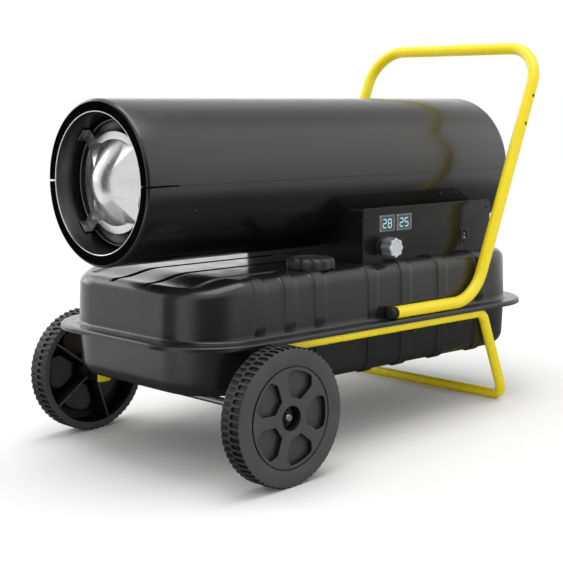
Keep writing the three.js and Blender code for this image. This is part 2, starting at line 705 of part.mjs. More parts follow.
// Pressed grooves along the tank's top, following its shelf, grown by a margin.
function topGrooves(margin) {
  const endY = FILLER_Y - CAP_RADIUS - 12;
  return [-1.5, -0.5, 0.5, 1.5].map((place) => {
    const x = place * GROOVE_SPACING;
    const depths = [TANK_FRONT_Y + 12, SHELF_RAMP_END_Y, SHELF_RAMP_START_Y];
    const corners = depths.map((y) => [x, y, TANK_TOP_Z - shelfDrop(y) + GROOVE_RISE]);
    corners.push([x, Math.abs(place) > 1 ? endY : BOX_FRONT_Y - 10, TANK_TOP_Z + GROOVE_RISE]);
    return sweptTube(new BentLine(corners, [8, 8], 1), GROOVE_RADIUS + margin, 8);
  });
}

function makeTank() {
  const sideOverhang = FLANGE_HALF_WIDTH - TANK_HALF_WIDTH;
  const ends = FLANGE_OVERHANG_ENDS;
  const upperBase = FLANGE_TOP_Z - FLANGE_SHEET;
  const plate = flangePlate(sideOverhang, ends, FLANGE_TOP_Z - FLANGE_LIP_DEPTH, FLANGE_TOP_Z);
  const underPlate = flangePlate(sideOverhang - FLANGE_LIP, ends - FLANGE_LIP,
    FLANGE_TOP_Z - FLANGE_LIP_DEPTH - 1, upperBase);
  const upperBody = tankBody(1, upperBase, TANK_TOP_Z, 0);
  const upperRibs = tankRibs(1, upperBase, TANK_TOP_Z);
  const upperHollow = cut(tankBody(1, upperBase - 1, TANK_TOP_Z, -TANK_WALL, TANK_WALL),
    topGrooves(TANK_WALL));
  const neckHole = rod(NECK_RADIUS + SEAT_GAP, TANK_TOP_Z - 30, TANK_TOP_Z + 9, MEDIUM_ROUND, 'z',
    [FILLER_X, FILLER_Y, 0]);
  const pickupHole = rod(7, TANK_TOP_Z - 30, TANK_TOP_Z + 9, TINY_ROUND, 'z',
    [PICKUP_X, PICKUP_Y, 0]);
  const flange = plate.subtract(underPlate);
  const handleRoom = sweptTube(handleLine(), HANDLE_TUBE_RADIUS + SEAT_GAP, TUBE_SIDES);
  const upper = joined([upperBody, upperRibs]).subtract(handleRoom).add(flange);
  piece('tank_upper_shell', cut(upper,
    [upperHollow, neckHole, pickupHole, ...topGrooves(0), ...boltHoles()]), satinBlack);

  const lowerTop = upperBase - SEAT_GAP;
  const lowerPlate = flangePlate(sideOverhang - FLANGE_LIP - 2 * SEAT_GAP,
    ends - FLANGE_LIP - 2 * SEAT_GAP, lowerTop - FLANGE_SHEET, lowerTop);
  const lowerBody = tankBody(-1, lowerTop, TANK_BOTTOM_Z, 0);
  const lowerRibs = tankRibs(-1, lowerTop, TANK_BOTTOM_Z);
  const railRoom = [sweptTube(standLine(), STAND_TUBE_RADIUS + SEAT_GAP, TUBE_SIDES)];
  for (const side of [-1, 1]) {
    const leg = block(-STAND_TUBE_RADIUS, 60, -14, 14, 60, LEG_TOP_Z + 6);
    const placed = side > 0 ? leg : leg.mirror([1, 0, 0]);
    railRoom.push(placed.translate([side * RAIL_X, 0, 0]));
  }
  const lowerHollow = tankBody(-1, lowerTop + 1, TANK_BOTTOM_Z, -TANK_WALL, TANK_WALL);
  const drainHole = rod(7.5, TANK_BOTTOM_Z - 9, TANK_BOTTOM_Z + 9, TINY_ROUND, 'z',
    [DRAIN_X, DRAIN_Y, 0]);
  const lowerSolid = cut(joined([lowerBody, lowerRibs]), railRoom).add(lowerPlate);
  piece('tank_lower_shell', cut(lowerSolid, [lowerHollow, drainHole, ...boltHoles()]), satinBlack);

  const drain = revolved([
    [0, TANK_BOTTOM_Z - SEAT_GAP], [0, TANK_BOTTOM_Z - 6], [10, TANK_BOTTOM_Z - 6],
    [10, TANK_BOTTOM_Z - SEAT_GAP], [6.5, TANK_BOTTOM_Z - SEAT_GAP], [6.5, TANK_BOTTOM_Z + 6],
    [0, TANK_BOTTOM_Z + 6],
  ].slice(1), 6, 'z');
  piece('drain_plug', drain, zincSteel).position.set(DRAIN_X, DRAIN_Y, 0);
}

// ---- filler and cap, drawn about the filler's own axis ----
function makeFiller() {
  const top = NECK_TOP_Z;
  const bore = NECK_RADIUS - NECK_WALL;
  const collar = TANK_TOP_Z + SEAT_GAP;
  const neck = revolved([
    [bore, TANK_TOP_Z - 12], [NECK_RADIUS, TANK_TOP_Z - 12], [NECK_RADIUS, collar],
    [NECK_RADIUS + 3, collar], [NECK_RADIUS + 3, collar + 1], [NECK_RADIUS, collar + 1],
    [NECK_RADIUS, top], [bore, top],
  ], MEDIUM_ROUND, 'z');
  piece('filler_neck', neck, satinBlack, filler);

  const cup = bore - SEAT_GAP;
  const floor = top - STRAINER_DEPTH;
  const strainer = revolved([
    [0, floor], [cup - 3, floor], [cup, top - 4], [cup, top + SEAT_GAP],
    [NECK_RADIUS - 0.5, top + SEAT_GAP], [NECK_RADIUS - 0.5, top + 1.5], [cup - 1.2, top + 1.5],
    [cup - 1.2, top - 4], [cup - 4.2, floor + 1.2], [0, floor + 1.2],
  ], MEDIUM_ROUND, 'z');
  const slots = [];
  for (let i = 0; i < 6; i += 1) {
    const slot = block(cup - 8, cup + 2, -4, 4, floor + 8, top - 16);
    slots.push(slot.rotate([0, 0, 60 * i]));
  }
  piece('filler_strainer', cut(strainer, slots), blackPlastic, filler);

  const gasketLow = top + 1.5 + SEAT_GAP;
  const gasketHigh = gasketLow + 1.4;
  const gasket = ring(15, NECK_RADIUS + 1.5, gasketLow, gasketHigh, SMALL_ROUND, 'z');
  piece('cap_gasket', gasket, rubberBlack, filler);

  const skirt = CAP_TOP_Z - CAP_HEIGHT;
  const lobes = extruded(lobedOutline(CAP_RADIUS, CAP_LOBES, 3.4), 'z', skirt, CAP_TOP_Z - 1.5);
  const crown = revolved([
    [0, CAP_TOP_Z - 3], [CAP_RADIUS - 3.6, CAP_TOP_Z - 3], [CAP_RADIUS - 4.2, CAP_TOP_Z - 1],
    [CAP_RADIUS - 9, CAP_TOP_Z], [0, CAP_TOP_Z],
  ], SMALL_ROUND, 'z');
  const socketTop = gasketHigh + SEAT_GAP;
  const socket = rod(NECK_RADIUS + 4, skirt - 1, socketTop, MEDIUM_ROUND, 'z');
  piece('fuel_cap', lobes.add(crown).subtract(socket), capPlastic, filler);
}

function makeFuelPath() {
  const seat = TANK_TOP_Z + SEAT_GAP;
  const bottom = TANK_BOTTOM_Z + 12;
  const pickup = revolved([
    [0, bottom], [11, bottom], [11, bottom + 22], [5, bottom + 26], [5, seat], [13, seat],
    [13, seat + 3], [4, seat + 3], [4, seat + 16], [0, seat + 16],
  ], TINY_ROUND, 'z');
  piece('fuel_pickup', pickup, blackPlastic).position.set(PICKUP_X, PICKUP_Y, 0);
  const nozzleY = BARREL_FRONT_Y + CHAMBER_FRONT_DEPTH + CHAMBER_LENGTH + 42;
  const lineTop = BARREL_AXIS_Z - 12;
  const line = new BentLine([
    [PICKUP_X, PICKUP_Y, seat + 16 + SEAT_GAP], [PICKUP_X, PICKUP_Y, lineTop],
    [4, nozzleY + 20, lineTop], [4, nozzleY + SEAT_GAP, lineTop],
  ], [16, 10], 4);
  piece('fuel_line', sweptTube(line, 3.5, 6), rubberBlack);
}

// ---- barrel shells ----
function shellProfile() {
  const r = BARREL_RADIUS;
  const w = BARREL_WALL;
  const k = LIP_ROUNDING;
  return [
    [LIP_INNER_RADIUS, 0], [r - k, 0], [r - 0.3 * k, 0.3 * k], [r, k],
    [r, BARREL_LENGTH], [r - 4, BARREL_LENGTH], [r - 4, BARREL_LENGTH - w],
    [r - w, BARREL_LENGTH - w], [r - w, k], [r - 0.4 * k - w, 0.4 * k + w],
    [r - k, w], [LIP_INNER_RADIUS, w],
  ];
}

function makeShells() {
  const tube = revolved(shellProfile(), LARGE_ROUND);
  const wide = BARREL_RADIUS + 10;
  const above = block(-wide, wide, -10, BARREL_LENGTH + 10, SEAM_GAP / 2, wide);
  const below = block(-wide, wide, -10, BARREL_LENGTH + 10, -wide, -SEAM_GAP / 2);
  piece('upper_body_shell', tube.intersect(above), glossBlack, barrel);

  const lapOuter = SHELL_INNER_RADIUS - SEAT_GAP;
  const lapEnd = BARREL_LENGTH - 2 * GUARD_DOME;
  const lapBand = ring(lapOuter - 1.2, lapOuter, SEAM_SLOT_LENGTH, lapEnd, LARGE_ROUND);
  const lapRoot = ring(lapOuter - 1.2, SHELL_INNER_RADIUS + 0.5, SEAM_SLOT_LENGTH, lapEnd,
    LARGE_ROUND);
  const side = block(-wide, wide, 0, BARREL_LENGTH, -SEAM_LAP, SEAM_LAP);
  const root = block(-wide, wide, 0, BARREL_LENGTH, -SEAM_LAP, -SEAM_GAP / 2);
  const laps = lapBand.intersect(side).add(lapRoot.intersect(root));
  const wireHole = block(-30, 70, BOX_FRONT_Y - BARREL_FRONT_Y + 10,
    BOX_FRONT_Y - BARREL_FRONT_Y + 120, -wide, 0);
  const lower = tube.intersect(below).add(laps).subtract(wireHole);
  piece('lower_body_shell', lower, glossBlack, barrel);
}

// ---- hot end ----
function makeHotEnd() {
  const throat = SHIELD_THROAT_RADIUS;
  const rim = LIP_INNER_RADIUS - SEAT_GAP;
  const shield = revolved([
    [rim - 1.4, 0.6], [rim, 1.4], [throat + 1.6, SHIELD_THROAT_DEPTH],
    [throat + 1.6, SHIELD_LENGTH], [throat, SHIELD_LENGTH], [throat, SHIELD_THROAT_DEPTH],
    [rim - 2.6, 2.4],
  ], LARGE_ROUND);
  piece('outlet_shield', shield, hotSteel, barrel);

  const front = CHAMBER_FRONT_DEPTH;
  const back = front + CHAMBER_LENGTH;
  const r = CHAMBER_RADIUS;
  const mouth = CHAMBER_MOUTH_RADIUS;
  const w = CHAMBER_WALL;
  const chamber = revolved([
    [r - w, front], [r, front], [r, back], [r - w, back], [r - w, front + 9],
    [mouth + 3, front + 10], [mouth, front + 17], [mouth - w, front + 17],
    [mouth + 3 - w, front + 9], [r - w, front + 7],
  ], MEDIUM_ROUND);
  const airHole = rod(7, mouth, r + 4, 6, 'x');
  const holes = [];
  for (let i = 0; i < 6; i += 1) {
    holes.push(airHole.translate([0, front + 190 + 40 * (i % 2), 0]).rotate([0, 60 * i, 0]));
  }
  piece('combustion_chamber', cut(chamber, holes), hotSteel, barrel);

  for (const [word, depth] of [['front', 140], ['rear', 300]]) {
    piece(`chamber_support_${word}`, chamberSupport(depth), zincSteel, barrel);
  }

  const sheet = SPIDER_SHEET;
  const hoop = ring(SPIDER_RADIUS - HOOP_WIDTH, SPIDER_RADIUS, SPIDER_DEPTH, SPIDER_DEPTH + sheet,
    MEDIUM_ROUND);
  const half = SPIDER_ARM / 2;
  const flats = throat * Math.cos(Math.PI / LARGE_ROUND) - SEAT_GAP;
  const armEnd = Math.sqrt(flats ** 2 - half ** 2);
  const arm = block(SPIDER_RADIUS - 4, armEnd, SPIDER_DEPTH, SPIDER_DEPTH + sheet, -half, half);
  const foot = block(armEnd - sheet, armEnd, SPIDER_DEPTH + sheet - SPIDER_FOOT,
    SPIDER_DEPTH + sheet, -half, half);
  const arms = [45, 135, 225, 315].map((turn) => arm.add(foot).rotate([0, turn, 0]));
  piece('diffuser_spider', joined([hoop, ...arms]), brightSteel, barrel);
  piece('flame_diffuser', diffuserShape(), brightSteel, barrel);

  const plate = rod(r - w - SEAT_GAP, back - 6, back - 4, MEDIUM_ROUND);
  const hub = rod(26, back - 5, back + 24, SMALL_ROUND);
  const nozzleBore = rod(9 + SEAT_GAP, back - 10, back + 30, TINY_ROUND);
  const igniterBore = rod(6 + SEAT_GAP, back - 10, back + 30, TINY_ROUND, 'y', [0, 0, 17]);
  const sensorBore = rod(5 + SEAT_GAP, back - 10, back, TINY_ROUND, 'y', [45, 0, 0]);
  const vanes = [];
  for (let i = 0; i < 8; i += 1) {
    vanes.push(block(34, 62, back - 10, back, -2, 2).rotate([0, 22.5 + 45 * i, 0]));
  }
  piece('burner_head', cut(plate.add(hub), [nozzleBore, igniterBore, sensorBore, ...vanes]),
    castAlloy, barrel);

  const nozzle = revolved([
    [0, back - 14], [2, back - 14], [6, back - 8], [9, back - 6], [9, back + 42], [0, back + 42],
  ], TINY_ROUND);
  piece('fuel_nozzle', nozzle, brass, barrel);
  piece('igniter', igniterShape(back), ceramic, barrel);
  const eye = revolved([
    [0, back - 7], [5, back - 7], [5, back - SEAT_GAP - 3.4], [8, back - SEAT_GAP - 3.4],
    [8, back + 16], [0, back + 16],
  ], TINY_ROUND, 'y', [45, 0, 0]);
  piece('flame_sensor', eye, blackPlastic, barrel);
}

// How far from the axis a flat foot of a given half width may reach inside the barrel.
function wallReach(halfWidth) {
  const flats = SHELL_INNER_RADIUS * Math.cos(Math.PI / LARGE_ROUND) - SEAT_GAP;
  return Math.sqrt(flats ** 2 - halfWidth ** 2);
}

// A ring round the chamber with four feet that reach the barrel's wall.
function chamberSupport(depth) {
  const inner = CHAMBER_RADIUS + SEAT_GAP;
  const reach = wallReach(8);
  const hoop = ring(inner, inner + 1.6, depth, depth + 14, MEDIUM_ROUND);
  const legFrom = inner * Math.cos(Math.PI / MEDIUM_ROUND) + 0.5;
  const leg = block(legFrom, reach, depth + 4, depth + 10, -1, 1);
  const foot = block(reach - 1.5, reach, depth, depth + 14, -8, 8);
  return joined([hoop, ...[45, 135, 225, 315].map((turn) => leg.add(foot).rotate([0, turn, 0]))]);
}

// The plate in the flame: a dome that runs out into a round cone, and through the cone's
// four diagonals the corners of a square pyramid. Its rim is flat and rests on the spider.
function diffuserShape() {
  const spokes = 32;
  const shares = [0.22, 0.4, 0.6, 0.8, 1];
  const bands = shares.length;
  const sheet = 1.2;
  const rim = SPIDER_DEPTH - SEAT_GAP - sheet;
  const domeRadius = DIFFUSER_RADIUS * 0.48;
  const domeRise = DIFFUSER_HEIGHT * 0.29;
  const squareHalf = DIFFUSER_RADIUS * 0.9;
  const positions = [];
  const faces = [];
  const reach = (angle) => {
    const square = squareHalf / Math.max(Math.abs(Math.cos(angle)), Math.abs(Math.sin(angle)));
    return Math.max(DIFFUSER_RADIUS, square);
  };
  const height = (r, angle) => {
    if (r < domeRadius) return DIFFUSER_HEIGHT - domeRise * (r / domeRadius) ** 2;
    const fall = DIFFUSER_HEIGHT - domeRise;
    const cone = fall * (1 - (r - domeRadius) / (DIFFUSER_RADIUS - domeRadius));
    const along = r * Math.max(Math.abs(Math.cos(angle)), Math.abs(Math.sin(angle)));
    const start = domeRadius * Math.SQRT1_2;
    return Math.max(cone, fall * (1 - (along - start) / (squareHalf - start)));
  };
  for (const back of [0, sheet]) {
    positions.push(0, rim - DIFFUSER_HEIGHT + back, 0);
    for (let band = 1; band <= bands; band += 1) {
      for (let i = 0; i < spokes; i += 1) {
        const angle = (2 * Math.PI * i) / spokes;
        const r = reach(angle) * shares[band - 1];
        const depth = rim - height(r, angle) + back;
        positions.push(r * Math.cos(angle), depth, r * Math.sin(angle));
      }
    }
  }
  const layer = 1 + bands * spokes;
  const at = (side, band, i) => side * layer + 1 + (band - 1) * spokes + (i % spokes);
  for (let i = 0; i < spokes; i += 1) {
    faces.push(0, at(0, 1, i), at(0, 1, i + 1));
    faces.push(layer, at(1, 1, i + 1), at(1, 1, i));
    for (let band = 1; band < bands; band += 1) {
      const [a, b, c, d] = [at(0, band, i), at(0, band, i + 1), at(0, band + 1, i + 1),
        at(0, band + 1, i)];
      faces.push(a, d, c, a, c, b);
      faces.push(a + layer, c + layer, d + layer, a + layer, b + layer, c + layer);
    }
    const [p, q] = [at(0, bands, i), at(0, bands, i + 1)];
    faces.push(p, p + layer, q + layer, p, q + layer, q);
  }
  const geometry = new THREE.BufferGeometry();
  geometry.setAttribute('position', new THREE.Float32BufferAttribute(positions, 3));
  geometry.setIndex(faces);
  return solid(geometry);
}

// Ceramic body with two electrodes that meet in front of the nozzle.
function igniterShape(back) {
  const body = rod(6, back - 12, back + 40, TINY_ROUND, 'y', [0, 0, 17]);
  const rods = [-1, 1].map((side) => new BentLine([
    [side * 3, back - 10, 17], [side * 3, back - 22, 17], [side * 2.5, back - 26, 7],
  ], [4], 1));
  return joined([body, ...rods.map((line) => sweptTube(line, 1.2, 4))]);
}

// ---- cold end: motor, fan, pump, guard ----
function makeColdEnd() {
  const motorBack = MOTOR_DEPTH + MOTOR_LENGTH;
  const bearing = SHAFT_RADIUS + TURN_GAP;
  const motor = revolved([
    [bearing, MOTOR_DEPTH], [16, MOTOR_DEPTH], [18, MOTOR_DEPTH + 8], [MOTOR_RADIUS - 4, MOTOR_DEPTH + 12],
    [MOTOR_RADIUS, MOTOR_DEPTH + 18], [MOTOR_RADIUS, motorBack - 18],
    [MOTOR_RADIUS - 4, motorBack - 12], [PUMP_RADIUS, motorBack - 6], [PUMP_RADIUS, motorBack],
    [bearing, motorBack],
  ], MEDIUM_ROUND);
  piece('motor', motor, castAlloy, barrel);

  const inner = MOTOR_RADIUS + SEAT_GAP;
  const clampFrom = MOTOR_DEPTH + 36;
  const clampTo = clampFrom + 26;
  const reach = wallReach(14);
  const hoop = ring(inner, inner + 2.5, clampFrom, clampTo, MEDIUM_ROUND);
  const leg = block(inner + 1, reach, clampFrom + 6, clampTo - 6, -1.5, 1.5);
  const foot = block(reach - 2, reach, clampFrom, clampTo, -14, 14);
  const legs = [90, 210, 330].map((turn) => leg.add(foot).rotate([0, turn, 0]));
  piece('motor_bracket', joined([hoop, ...legs]), zincSteel, barrel);

  const shaft = revolved([
    [0, FAN_DEPTH - 10], [SHAFT_RADIUS - 1, FAN_DEPTH - 10], [SHAFT_RADIUS, FAN_DEPTH - 9],
    [SHAFT_RADIUS, SHAFT_END_DEPTH], [0, SHAFT_END_DEPTH],
  ], TINY_ROUND);
  piece('motor_shaft', shaft, brightSteel, barrel);
  piece('fan', fanShape(), castAlloy, barrel);

  const pumpFrom = motorBack + SEAT_GAP;
  const pumpTo = pumpFrom + PUMP_LENGTH;
  const cavity = PUMP_ROTOR_RADIUS + 3;
  const ringBody = revolved([
    [bearing, pumpFrom], [PUMP_RADIUS, pumpFrom], [PUMP_RADIUS, pumpTo], [cavity, pumpTo],
    [cavity, pumpFrom + 3], [bearing, pumpFrom + 3],
  ], SMALL_ROUND);
  const port = rod(6, PUMP_RADIUS - 3, PUMP_RADIUS + 12, 8, 'x', [0, pumpFrom + 12, 0]);
  piece('pump_body', ringBody.add(port), castAlloy, barrel);

  const rotor = ring(SHAFT_RADIUS + SEAT_GAP, PUMP_ROTOR_RADIUS, pumpFrom + 3.5, pumpTo - 0.5,
    SMALL_ROUND);
  const vane = block(PUMP_ROTOR_RADIUS - 8, PUMP_ROTOR_RADIUS + 2, pumpFrom, pumpTo, -1, 1);
  const vaneSlots = [0, 90, 180, 270].map((turn) => vane.rotate([0, turn, 0]));
  piece('pump_rotor', cut(rotor, vaneSlots), blackPlastic, barrel);

  const coverFrom = pumpTo + SEAT_GAP;
  const cover = revolved([
    [0, coverFrom + 8], [SHAFT_RADIUS + 2, coverFrom + 8], [SHAFT_RADIUS + 2, coverFrom],
    [PUMP_RADIUS, coverFrom], [PUMP_RADIUS, coverFrom + 10], [PUMP_RADIUS - 2, coverFrom + 12],
    [0, coverFrom + 12],
  ], SMALL_ROUND);
  piece('pump_cover', cover, castAlloy, barrel);

  const filterFrom = coverFrom + 12 + SEAT_GAP;
  const filter = revolved([
    [0, filterFrom], [FILTER_RADIUS, filterFrom], [FILTER_RADIUS + 1, filterFrom + 4],
    [FILTER_RADIUS + 1, filterFrom + 18], [FILTER_RADIUS - 2, filterFrom + 21], [0, filterFrom + 21],
  ], SMALL_ROUND);
  piece('air_filter', filter, blackPlastic, barrel);
  piece('rear_guard', guardShape(), satinBlack, barrel);
}

// Pressed fan: twisted blades on a hub.
function fanShape() {
  const hub = revolved([
    [SHAFT_RADIUS + SEAT_GAP, FAN_DEPTH], [FAN_HUB_RADIUS - 4, FAN_DEPTH],
    [FAN_HUB_RADIUS, FAN_DEPTH + 4], [FAN_HUB_RADIUS, FAN_DEPTH + FAN_HEIGHT - 4],
    [SHAFT_RADIUS + SEAT_GAP, FAN_DEPTH + FAN_HEIGHT - 4],
  ], SMALL_ROUND);
  const tip = SHELL_INNER_RADIUS - SWING_GAP - 6;
  const sections = 4;
  const rings = [];
  for (let i = 0; i < sections; i += 1) {
    const share = i / (sections - 1);
    const r = THREE.MathUtils.lerp(FAN_HUB_RADIUS - 3, tip, share);
    const pitch = THREE.MathUtils.degToRad(THREE.MathUtils.lerp(48, 24, share));
    const halfChord = THREE.MathUtils.lerp(17, 30, share);
    const outline = [];
    for (const [along, camber] of [[-1, 0], [-0.4, 4], [0.4, 4], [1, 0]]) {
      const run = halfChord * along;
      const lean = run * Math.sin(pitch) - camber * Math.cos(pitch);
      const across = run * Math.cos(pitch) + camber * Math.sin(pitch);
      outline.push([across, lean]);
    }
    const front = outline.map(([a, y]) => new THREE.Vector3(r, FAN_DEPTH + 16 + y - 0.8, a));
    const rear = outline.map(([a, y]) => new THREE.Vector3(r, FAN_DEPTH + 16 + y + 0.8, a));
    rings.push([...front, ...rear.reverse()]);
  }
  const blade = lofted(rings);
  const blades = [];
  for (let i = 0; i < FAN_BLADES; i += 1) blades.push(blade.rotate([0, (360 / FAN_BLADES) * i, 0]));
  return joined([hub, ...blades]);
}

// Domed wire guard that closes the fan end.
function guardShape() {
  const outer = BARREL_RADIUS - 4 - SEAT_GAP - GUARD_WIRE;
  const rings = [];
  const dome = (r) => GUARD_DOME * (1 - (r / outer) ** 2);
  const seat = BARREL_LENGTH - GUARD_DOME - GUARD_WIRE - 1;
  for (let i = 1; i <= GUARD_RINGS; i += 1) {
    const r = (outer * i) / GUARD_RINGS;
    const y = seat + dome(r);
    const w = GUARD_WIRE;
    rings.push(revolved([[r - w, y], [r, y - w], [r + w, y], [r, y + w]], SMALL_ROUND));
  }
  const middle = outer / GUARD_RINGS;
  const disc = rod(middle, seat + dome(middle) - 1, seat + dome(middle) + 1,
    SMALL_ROUND);
  const spokes = [];
  const spokeLine = new BentLine([
    [middle - 2, seat + dome(middle), 0], [outer * 0.6, seat + dome(outer * 0.6), 0],
    [outer, seat + dome(outer), 0],
  ], [40], 1);
  const spoke = sweptTube(spokeLine, GUARD_WIRE, 4);
  for (let i = 0; i < 4; i += 1) spokes.push(spoke.rotate([0, 90 * i, 0]));
  const rim = ring(outer, wallReach(0) - 2 * SEAT_GAP, seat - 1, seat + 1, SMALL_ROUND);
  return joined([...rings, disc, ...spokes, rim]);
}

// ---- control box ----

// The box's outline seen from its side, shrunk by an inset.
function boxOutline(low, inset) {
  return roundedRectangle(BOX_FRONT_Y + inset, BOX_REAR_Y - inset, low, BOX_TOP_Z - inset,
    PANEL_CORNER - inset);
}

function makeControlBox() {
  const floor = TANK_TOP_Z + SEAT_GAP;
  const end = PANEL_X - BOX_SHEET - SEAT_GAP;
  const t = BOX_SHEET;
  const outer = extruded(boxOutline(floor - 20, t), 'x', BOX_LEFT_X, end, 2);
  const inner = extruded(boxOutline(floor - 20, 2 * t), 'x', BOX_LEFT_X + t, end + 1, 2);
  const below = block(BOX_LEFT_X - 5, end + 5, BOX_FRONT_Y - 5, BOX_REAR_Y + 5, floor - 25, floor);
  const sheet = block(BOX_LEFT_X + 1, end, BOX_FRONT_Y + 2, BOX_REAR_Y - 2, floor, floor + t);
  const tubeRoom = rod(BARREL_RADIUS + SEAT_GAP, BOX_FRONT_Y - 20, BOX_REAR_Y + 20,
    LARGE_ROUND, 'y', [0, 0, BARREL_AXIS_Z]);
  const pickupRoom = rod(16, floor - 5, floor + 5, TINY_ROUND, 'z', [PICKUP_X, PICKUP_Y, 0]);
  const glandHole = rod(9 + SEAT_GAP, BOX_REAR_Y - 20, BOX_REAR_Y + 5, TINY_ROUND, 'y',
    [90, 0, 322]);
  piece('control_box', cut(outer.subtract(inner).add(sheet),
    [below, tubeRoom, pickupRoom, glandHole]), glossBlack);

  const low = floor - SEAT_GAP + 1;
  const plate = extruded(boxOutline(low, 0), 'x', PANEL_X - PANEL_RETURN, PANEL_X, 2);
  const hollow = extruded(boxOutline(low - 20, t - SEAT_GAP), 'x', PANEL_X - PANEL_RETURN - 1,
    PANEL_X - t, 2);
  const windows = DISPLAY_STATIONS.map((y) => block(PANEL_X - 9, PANEL_X + 1,
    y - DISPLAY_WIDTH / 2, y + DISPLAY_WIDTH / 2, DISPLAY_Z - DISPLAY_HEIGHT / 2,
    DISPLAY_Z + DISPLAY_HEIGHT / 2));
  const switchHole = block(PANEL_X - 9, PANEL_X + 1, SWITCH_Y - SWITCH_WIDTH / 2,
    SWITCH_Y + SWITCH_WIDTH / 2, SWITCH_Z - SWITCH_HEIGHT / 2, SWITCH_Z + SWITCH_HEIGHT / 2);
  const knobHole = rod(5 + TURN_GAP, PANEL_X - 9, PANEL_X + 1, TINY_ROUND, 'x',
    [0, KNOB_Y, KNOB_Z]);
  piece('control_panel', cut(plate, [hollow, ...windows, switchHole, knobHole]), glossBlack);

  DISPLAY_STATIONS.forEach((y, index) => {
    const w = DISPLAY_WIDTH / 2 - SEAT_GAP;
    const h = DISPLAY_HEIGHT / 2 - SEAT_GAP;
    const window = extruded(roundedRectangle(y - w, y + w, DISPLAY_Z - h, DISPLAY_Z + h, 1.5),
      'x', PANEL_X - 8, PANEL_X + 1, 2);
    piece(`display_${index + 1}`, window, displayGrey);
  });
  makeKnob();
  makeSwitch();

  const board = block(110, PANEL_X - 9, 285, 380, floor + t + SEAT_GAP, floor + t + 2);
  const relay = block(116, 134, 320, 340, floor + t + 1, floor + t + 16);
  const terminals = block(114, 126, 350, 374, floor + t + 1, floor + t + 12);
  piece('circuit_board', joined([board, relay, terminals]), boardGreen);

  const coil = extruded(roundedRectangle(-114, -62, 400, 470, 5), 'z',
    floor + t + SEAT_GAP, floor + t + 25, 2);
  const towers = [420, 450].map((y) => rod(5, -63, -51, 8, 'x', [0, y, floor + t + 12]));
  piece('ignition_transformer', joined([coil, ...towers]), blackPlastic);

  const gland = revolved([
    [0, -10], [8.7, -10], [8.7, SEAT_GAP], [13, SEAT_GAP], [13, 5], [10, 12], [6, 16], [0, 16],
  ], TINY_ROUND, 'y', [90, BOX_REAR_Y - t, 322]);
  const socket = rod(4, 4, 20, 8, 'y', [90, BOX_REAR_Y - t, 322]);
  piece('cord_gland', gland.subtract(socket), blackPlastic);
}

function makeKnob() {
  const skirt = PANEL_X + TURN_GAP;
  const base = extruded(lobedOutline(KNOB_RADIUS - 0.5, KNOB_LOBES, 2.2), 'x', skirt, skirt + 12);
  const stem = rod(5, PANEL_X - 24, skirt + 1, TINY_ROUND, 'x');
  const stemMesh = piece('knob_skirt', base.add(stem), blackPlastic);
  stemMesh.position.set(0, KNOB_Y, KNOB_Z);
  const face = skirt + 12 + SEAT_GAP;
  const grip = extruded(lobedOutline(KNOB_RADIUS, KNOB_LOBES, 2.4), 'x', face, face + 20);
  const crown = extruded(lobedOutline(KNOB_RADIUS - 1.5, KNOB_LOBES, 2.2), 'x', face + 19, face + 22);
  piece('thermostat_knob', grip.add(crown), silverPlastic).position.set(0, KNOB_Y, KNOB_Z);
}

function makeSwitch() {
  const w = SWITCH_WIDTH / 2 - SEAT_GAP;
  const h = SWITCH_HEIGHT / 2 - SEAT_GAP;
  const x = PANEL_X;
  const body = block(x - 18, x + 1, SWITCH_Y - w, SWITCH_Y + w, SWITCH_Z - h, SWITCH_Z + h);
  const bezel = block(x + SEAT_GAP, x + 1.8, SWITCH_Y - w - 1.6, SWITCH_Y + w + 1.6,
    SWITCH_Z - h - 1.6, SWITCH_Z + h + 1.6);
  const well = block(x - 9, x + 3, SWITCH_Y - w + 1.5, SWITCH_Y + w - 1.5,
    SWITCH_Z - h + 1.5, SWITCH_Z + h - 1.5);
  piece('switch_housing', body.add(bezel).subtract(well), blackPlastic);
  const outline = new THREE.Shape();
  outline.moveTo(-4, -2);
  outline.lineTo(4, -2);
  outline.lineTo(7.6, 6.6);
  outline.quadraticCurveTo(0, 3.4, -7.6, 6.6);
  outline.closePath();
  const rocker = extruded(outline, 'x', -(w - 1.5 - TURN_GAP), w - 1.5 - TURN_GAP, 4);
  const mesh = piece('power_rocker', rocker, blackPlastic);
  mesh.position.set(x - 4.5, SWITCH_Y, SWITCH_Z);
  mesh.quaternion.setFromRotationMatrix(new THREE.Matrix4().makeBasis(
    new THREE.Vector3(0, 1, 0), new THREE.Vector3(0, 0, 1), new THREE.Vector3(1, 0, 0)));
}

makeRunningGear();
makeFrame();
makeTank();
makeFiller();
makeFuelPath();
makeShells();
makeHotEnd();
makeColdEnd();
makeControlBox();

// Lean the level drawing back about the axle, then put the origin under the middle.
level.position.z = -WHEEL_RADIUS;
leaned.position.z = WHEEL_RADIUS;
leaned.rotation.x = -leanAngle();
heater.updateMatrixWorld(true);
const bounds = new THREE.Box3().setFromObject(heater, true);
const centre = bounds.getCenter(new THREE.Vector3());
leaned.position.x -= centre.x;
leaned.position.y -= centre.y;
leaned.position.z -= bounds.min.z;
heater.updateMatrixWorld(true);
console.log('lean (degrees)', THREE.MathUtils.radToDeg(leanAngle()).toFixed(4));
console.log('level origin sits at', leaned.position.toArray().map((v) => v.toFixed(3)).join(' '));
console.log('size', bounds.getSize(new THREE.Vector3()).toArray().map((v) => v.toFixed(2)).join(' '));

export default heater;
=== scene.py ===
# %% [markdown]
# # A forced air heater
# A barrel with a burner at one end and a fan at the other sits on a fuel tank with two
# wheels, a bent tube handle and a tube stand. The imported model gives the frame: every new
# piece here is drawn to sit exactly where its plain CAD node is, and rides on its body.

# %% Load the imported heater
import json
import math

